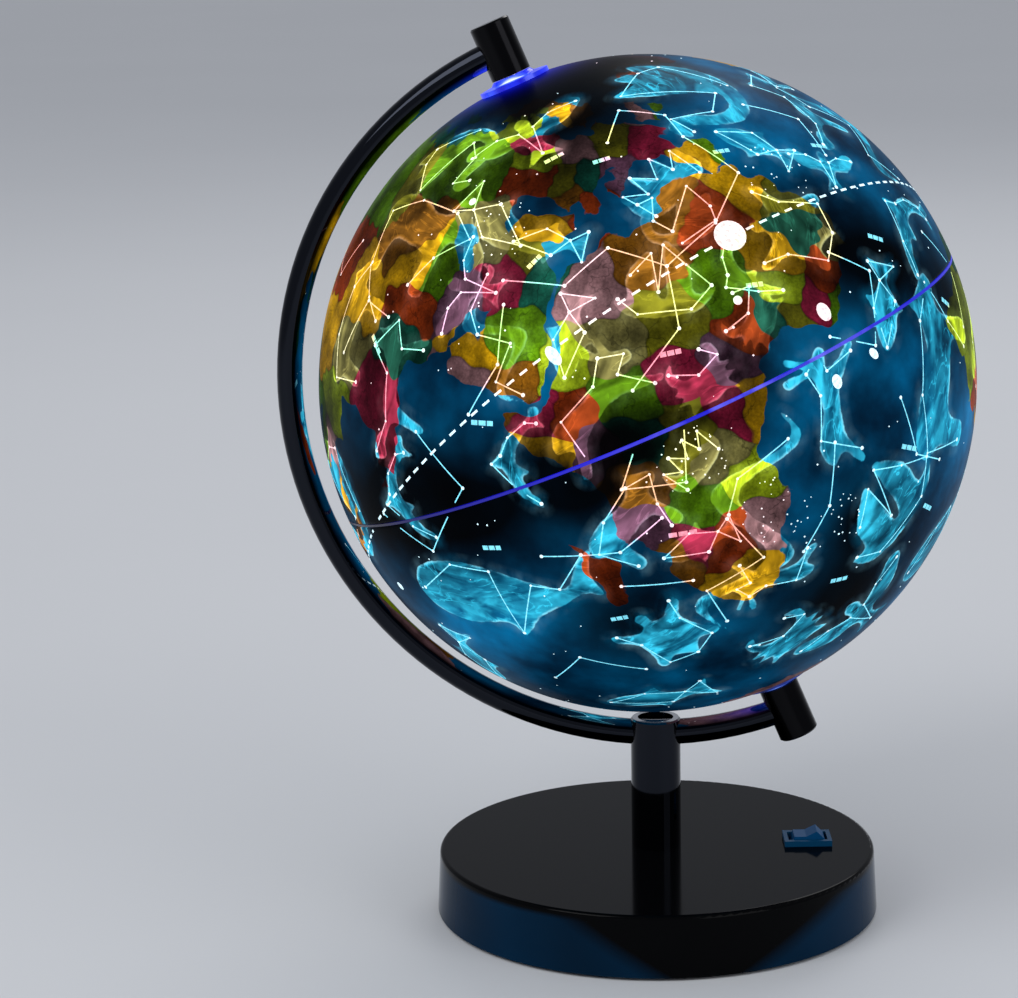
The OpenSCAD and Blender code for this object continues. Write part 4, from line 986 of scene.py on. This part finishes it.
def add_band(solid, path, width, top):
    """A thin closed band of print along a path of unit vectors, left out where it would cross the seam."""
    points, faces = solid
    runs, run = [], []
    for here in path:
        if abs(here[2]) * shell_r > seam_gap:
            run.append(here)
        elif run:
            runs.append(run)
            run = []
    runs.append(run)
    for run in runs:
        if len(run) < 2:
            continue
        first = len(points)
        for i, here in enumerate(run):
            side = np.cross(here, run[min(i + 1, len(run) - 1)] - run[max(i - 1, 0)])
            side = side / np.linalg.norm(side) * (width / 2)
            low, high = here * chart_low, here * top
            points += [low - side, low + side, high + side, high - side]
        for i in range(len(run) - 1):
            a = first + 4 * i
            faces += [(a + j, a + (j + 1) % 4, a + 4 + (j + 1) % 4, a + 4 + j) for j in range(4)]
        last = len(points) - 4
        faces += [(first + 3, first + 2, first + 1, first), (last, last + 1, last + 2, last + 3)]


def add_dot(solid, middle, across, down, turn=0.0, sides=8, rings=1):
    """A round or oval dot of print, with rings enough to follow the globe."""
    points, faces = solid
    if abs(middle[2]) * shell_r < seam_gap + max(across, down) / 2:
        return
    around, north = math.degrees(math.atan2(middle[1], middle[0])), math.degrees(math.asin(middle[2]))
    _, side, up = chart_axes(around, north, turn)
    first = len(points)
    points.append(middle * star_top)
    for ring in range(1, rings + 2):
        share = min(ring, rings) / rings
        radius = star_top if ring <= rings else chart_low
        for i in range(sides):
            a = 2 * math.pi * i / sides
            spot = middle * shell_r + (side * math.cos(a) * across + up * math.sin(a) * down) * share / 2
            points.append(spot / np.linalg.norm(spot) * radius)
    faces += [(first, first + 1 + i, first + 1 + (i + 1) % sides) for i in range(sides)]
    for ring in range(rings):
        a, b = first + 1 + ring * sides, first + 1 + (ring + 1) * sides
        faces += [(a + i, b + i, b + (i + 1) % sides, a + (i + 1) % sides) for i in range(sides)]
    faces.append(tuple(first + 1 + rings * sides + i for i in range(sides))[::-1])


def white_print(name, strength, dullest, rough):
    """White ink, tinted by what lies under it, with the fine unevenness of a screen print."""
    material, tree, shader = finish(name)
    uneven = spread(tree, grain(tree, 1100.0), dullest, 1.15, 0.36, 0.58)
    tint = brighten(tree, layer(tree, "tint", "Color"), uneven)
    tree.links.new(tint, shader.inputs["Base Color"])
    tree.links.new(tint, shader.inputs["Emission Color"])
    shader.inputs["Emission Strength"].default_value = strength
    roughen(tree, shader, 400.0, *rough)
    return material


def raise_print(name, solid, material, white=0.0):
    """Makes a piece of the star chart from its points and faces."""
    points = np.array(solid[0])
    mesh = bpy.data.meshes.new(name)
    mesh.from_pydata([globe_place @ Vector(p) for p in points.tolist()], [], solid[1])
    shape = bmesh.new()
    shape.from_mesh(mesh)
    bmesh.ops.recalc_face_normals(shape, faces=shape.faces)
    shape.to_mesh(mesh)
    shape.free()
    tint = chart_tint(points / np.linalg.norm(points, axis=1)[:, None]) * (1 - white) + white
    tints = np.concatenate([tint, np.ones((len(tint), 1))], 1).astype(np.float32)
    mesh.color_attributes.new("tint", "FLOAT_COLOR", "POINT").data.foreach_set("color", tints.ravel())
    mesh.materials.append(material)
    piece = bpy.data.objects.new(name, mesh)
    bpy.context.scene.collection.objects.link(piece)
    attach(piece, "globe")
    return piece


def at(around, north):
    """The direction of a place on the globe, in degrees round it and north."""
    return chart_axes(around, north, 0)[0]


chart_lines, chart_stars = ([], []), ([], [])
line_width = 0.34 * mm


def add_chain(stars, widths):
    """Stars in a row with a line from each to the next. The stars take their widths in turn."""
    for start, end in zip(stars, stars[1:]):
        add_band(chart_lines, along(start, end), line_width, line_top)
    for i, star in enumerate(stars):
        width = widths[i % len(widths)] * mm
        add_dot(chart_stars, star, width, width)


chain_share = 0.9
for motif, around, north, size, turn in sky_figures:
    middle, side, up = chart_axes(around, north, turn)
    outline, chain = motifs[motif]
    reach = chain_share * size * mm / shell_r
    stars = [middle + (side * outline[i][0] + up * outline[i][1]) * reach for i in chain]
    add_chain([star / np.linalg.norm(star) for star in stars], (1.2, 0.8, 1.0))

# Loose chains of stars, as places round the globe and north.
loose_chains = [
    [(-99, 33), (-88, 28), (-78, 31), (-70, 24), (-73, 14), (-84, 8)],
    [(-70, 24), (-58, 27), (-47, 33), (-50, 44)], [(-112, 14), (-104, 20), (-100, 29)],
    [(-92, -6), (-86, 1), (-79, -1), (-82, -9), (-92, -6)],
    [(-140, 2), (-131, -6), (-118, 3), (-124, 14)], [(-110, -12), (-97, -16), (-88, -13)],
    [(-88, -26), (-100, -22)], [(-50, 2), (-42, -3), (-36, 8), (-42, 14)],
    [(-56, -14), (-60, -24), (-67, -30)], [(-30, -28), (-38, -24), (-40, -13)],
    [(-66, 50), (-56, 56), (-48, 50), (-50, 44)], [(-130, -38), (-118, -34), (-108, -42)],
    [(-28, 44), (-20, 36), (-25, 28)], [(-145, 30), (-136, 38), (-128, 34)],
    [(-12, -10), (-8, 0), (-14, 8)], [(20, 30), (34, 34), (44, 28), (60, 34)],
    [(70, 12), (84, 16), (96, 10), (110, 14)], [(30, -8), (44, -12), (52, -4)],
    [(130, 28), (142, 22), (150, 30)], [(110, -28), (124, -34), (136, -28)],
    [(160, -8), (172, -14), (180, -6)], [(66, 62), (84, 66), (100, 60)], [(0, -30), (12, -26), (22, -32)],
    [(70, -48), (84, -54), (100, -50)], [(-150, 50), (-160, 44), (-172, 48)],
]
for chain in loose_chains:
    add_chain([at(*place) for place in chain], (1.1,))

# The moon and the bright stars, as place, millimetres across and down, and turn. Then faint stars at
# random, thicker in a band round the sky and in a few clusters.
for around, north, across, down, turn in [
        (-57, 24, 9.4, 9.4, 0), (-94, 18, 3.4, 6.4, 20), (-49, 6, 4.2, 5.6, 10), (-52, -5, 3.2, 4.2, 0),
        (-43, -4, 2.6, 3.8, 30), (-62, 14, 2.6, 2.6, 0), (-104, 50, 2.4, 2.4, 0), (70, 10, 5.0, 5.0, 0),
        (110, -8, 3.4, 4.6, 20), (20, -20, 3.0, 3.0, 0), (150, 20, 3.2, 4.4, 0), (-150, -12, 2.8, 2.8, 0)]:
    add_dot(chart_stars, at(around, north), across * mm, down * mm, turn, sides=28, rings=4)
dice = random.Random(12)
clusters = [at(-70, -20), at(-60, -28), at(-96, 42), at(-80, -6), at(-40, 30), at(60, 10), at(120, -20),
            at(170, 30)]
cluster_spread, band_squeeze = 0.1, 0.85
band_pole = at(150, 20)
faint_count = 560
near_pole = 0.97
for i in range(faint_count):
    star = np.array([dice.gauss(0, 1) for _ in range(3)])
    star /= np.linalg.norm(star)
    if i % 5 < 2:
        star = star * cluster_spread + clusters[i % len(clusters)]
    elif i % 5 == 2:
        star = star - band_pole * (star @ band_pole) * band_squeeze
    star /= np.linalg.norm(star)
    if abs(star[2]) < near_pole:
        width = dice.uniform(0.28, 0.62) * mm
        add_dot(chart_stars, star, width, width, sides=6)

# The sun's yearly path is a circle of dashes, tilted to the equator, with its pole at this place.
path_dashes = ([], [])
_, path_side, path_up = chart_axes(124.8, 66.3, 0)
dash_count, dash_share, dash_width = 130, 0.54, 0.7 * mm
for i in range(dash_count):
    turns = [2 * math.pi * (i + share * dash_share) / dash_count for share in (0, 0.5, 1)]
    dash = [path_side * math.cos(t) + path_up * math.sin(t) for t in turns]
    add_band(path_dashes, dash, dash_width, star_top)

# Label bars are three plain blocks each, as length in millimetres, place and turn. They keep off the seam.
label_bars = ([], [])
label_places = [
    (7, -110, 12, -20), (5, -92, 34, 25), (6, -76, 11, -12), (5, -58, 15, -18), (7, -66, 3, -25),
    (8, -86, -17, -15), (6, -30, 12, -35), (6, -24, 30, -30), (5, -46, 38, -20), (7, -40, -22, -30),
    (6, -33, -36, -35), (5, -70, 47, -10), (6, -118, -8, -15), (7, -132, 30, -60), (5, -104, -28, -12),
    (6, -60, -40, -20), (5, -18, -4, -40), (6, -80, 52, 5),
]
back_bars = 18
for _ in range(back_bars):
    length, around, north = dice.uniform(4.5, 7.5), dice.uniform(0, 190), dice.uniform(-55, 55)
    label_places.append((length, around, north, dice.uniform(-40, 20)))
bar_height, off_seam = 1.4 * mm, 6 * mm
for length, around, north, turn in label_places:
    middle, side, _ = chart_axes(around, north, turn)
    reach = side * (length / 2 * mm / shell_r)
    for block in ((-1, -0.42), (-0.3, 0.34), (0.46, 1)):
        ends = [(middle + way * reach) / np.linalg.norm(middle + way * reach) for way in block]
        if abs(middle[2]) * shell_r > off_seam:
            add_band(label_bars, along(*ends), bar_height, line_top)

star_ink = white_print("star_ink", 0.74, 0.7, (0.35, 0.5))
raise_print("chart_lines", chart_lines, star_ink)
raise_print("chart_stars", chart_stars, star_ink, white=0.55)
raise_print("path_dashes", path_dashes, star_ink, white=0.55)
raise_print("label_bars", label_bars, white_print("label_ink", 0.42, 0.8, (0.4, 0.55)))


# Equator band: a ring of clear blue plastic inside the seam, with a rib that fills the gap between the
# shells. The lamp lights it from inside, and that light is painted into its colour: painted shade at the left
# end and a painted highlight across the middle in front.
band_glow, tree, shader = finish("band_glow")
across = own_place(tree)["X"]
dark_to, light_from, full_from, full_to, light_to = -75 * mm, -10 * mm, 30 * mm, 40 * mm, 80 * mm
# Painted shade towards the left end and a painted highlight across the middle, by place along X.
dark_end = spread(tree, across, 0.0, 1.0, dark_to, light_from)
lit_middle = times(tree, spread(tree, across, 0.0, 1.0, light_from, full_from),
                   spread(tree, across, 1.0, 0.0, full_to, light_to),
                   spread(tree, grain(tree, 110.0), 0.0, 0.7, 0.42, 0.62))
blue = blend(tree, dark_end, screen(3, 2, 36), screen(26, 24, 200))
blue = blend(tree, lit_middle, blue, screen(120, 118, 252))
shine_through(tree, shader, blue, 0.15, (0.001, 0.001, 0.01))
roughen(tree, shader, 300.0, 0.2, 0.35)
coat("equator_band", band_glow)


# Bushes at the poles: flanged bushes of clear blue plastic, which lie on the shells and turn on the north
# pin and the lamp's axle. A white ring inside each shell holds its bush.
highlight_out = 7.4 * mm


def bush_finish(name, node, dark, bright):
    """Blue plastic that the lamp lights unevenly from below, with a painted highlight in front of the cap and
    a softer painted glow round it.
    """
    material, tree, shader = finish(name)
    middle = middle_of(node)
    front_edge = middle.y - highlight_out
    here = own_place(tree)
    beside = gap(tree, here["X"], middle.x)
    before = gap(tree, here["Y"], front_edge)
    blue = blend(tree, spread(tree, grain(tree, 130.0, 2.0), 0.0, 1.0, 0.36, 0.62), dark, bright)
    # Painted light: a soft painted glow, then a painted highlight, just in front of the cap.
    soft = times(tree, spread(tree, beside, 0.6, 0.0, 1 * mm, 8 * mm),
                 spread(tree, before, 1.0, 0.0, 1 * mm, 3 * mm))
    blue = blend(tree, soft, blue, screen(96, 136, 255))
    painted_highlight = times(tree, spread(tree, beside, 1.0, 0.0, 2.5 * mm, 4 * mm),
                   spread(tree, before, 1.0, 0.0, 0.5 * mm, 1.2 * mm))
    blue = blend(tree, painted_highlight, blue, screen(214, 226, 255))
    shine_through(tree, shader, blue, 0.4, (0.002, 0.003, 0.02))
    roughen(tree, shader, 500.0, 0.12, 0.25)
    return material


# Both bushes are the same blue plastic: the north one is painted brightly lit, the south one painted dim, in
# shade.
coat("north_bush", bush_finish("lit_blue", "north_bush", screen(6, 10, 186), screen(30, 58, 250)))
coat("south_bush", bush_finish("shaded_blue", "south_bush", screen(2, 8, 50), screen(6, 30, 110)))
ring_white = plain_finish("ring_white", (0.6, 0.6, 0.6), (0.7, 0.7, 0.7), (0.4, 0.5))
coat("north_bush_ring", ring_white)
coat("south_bush_ring", ring_white)
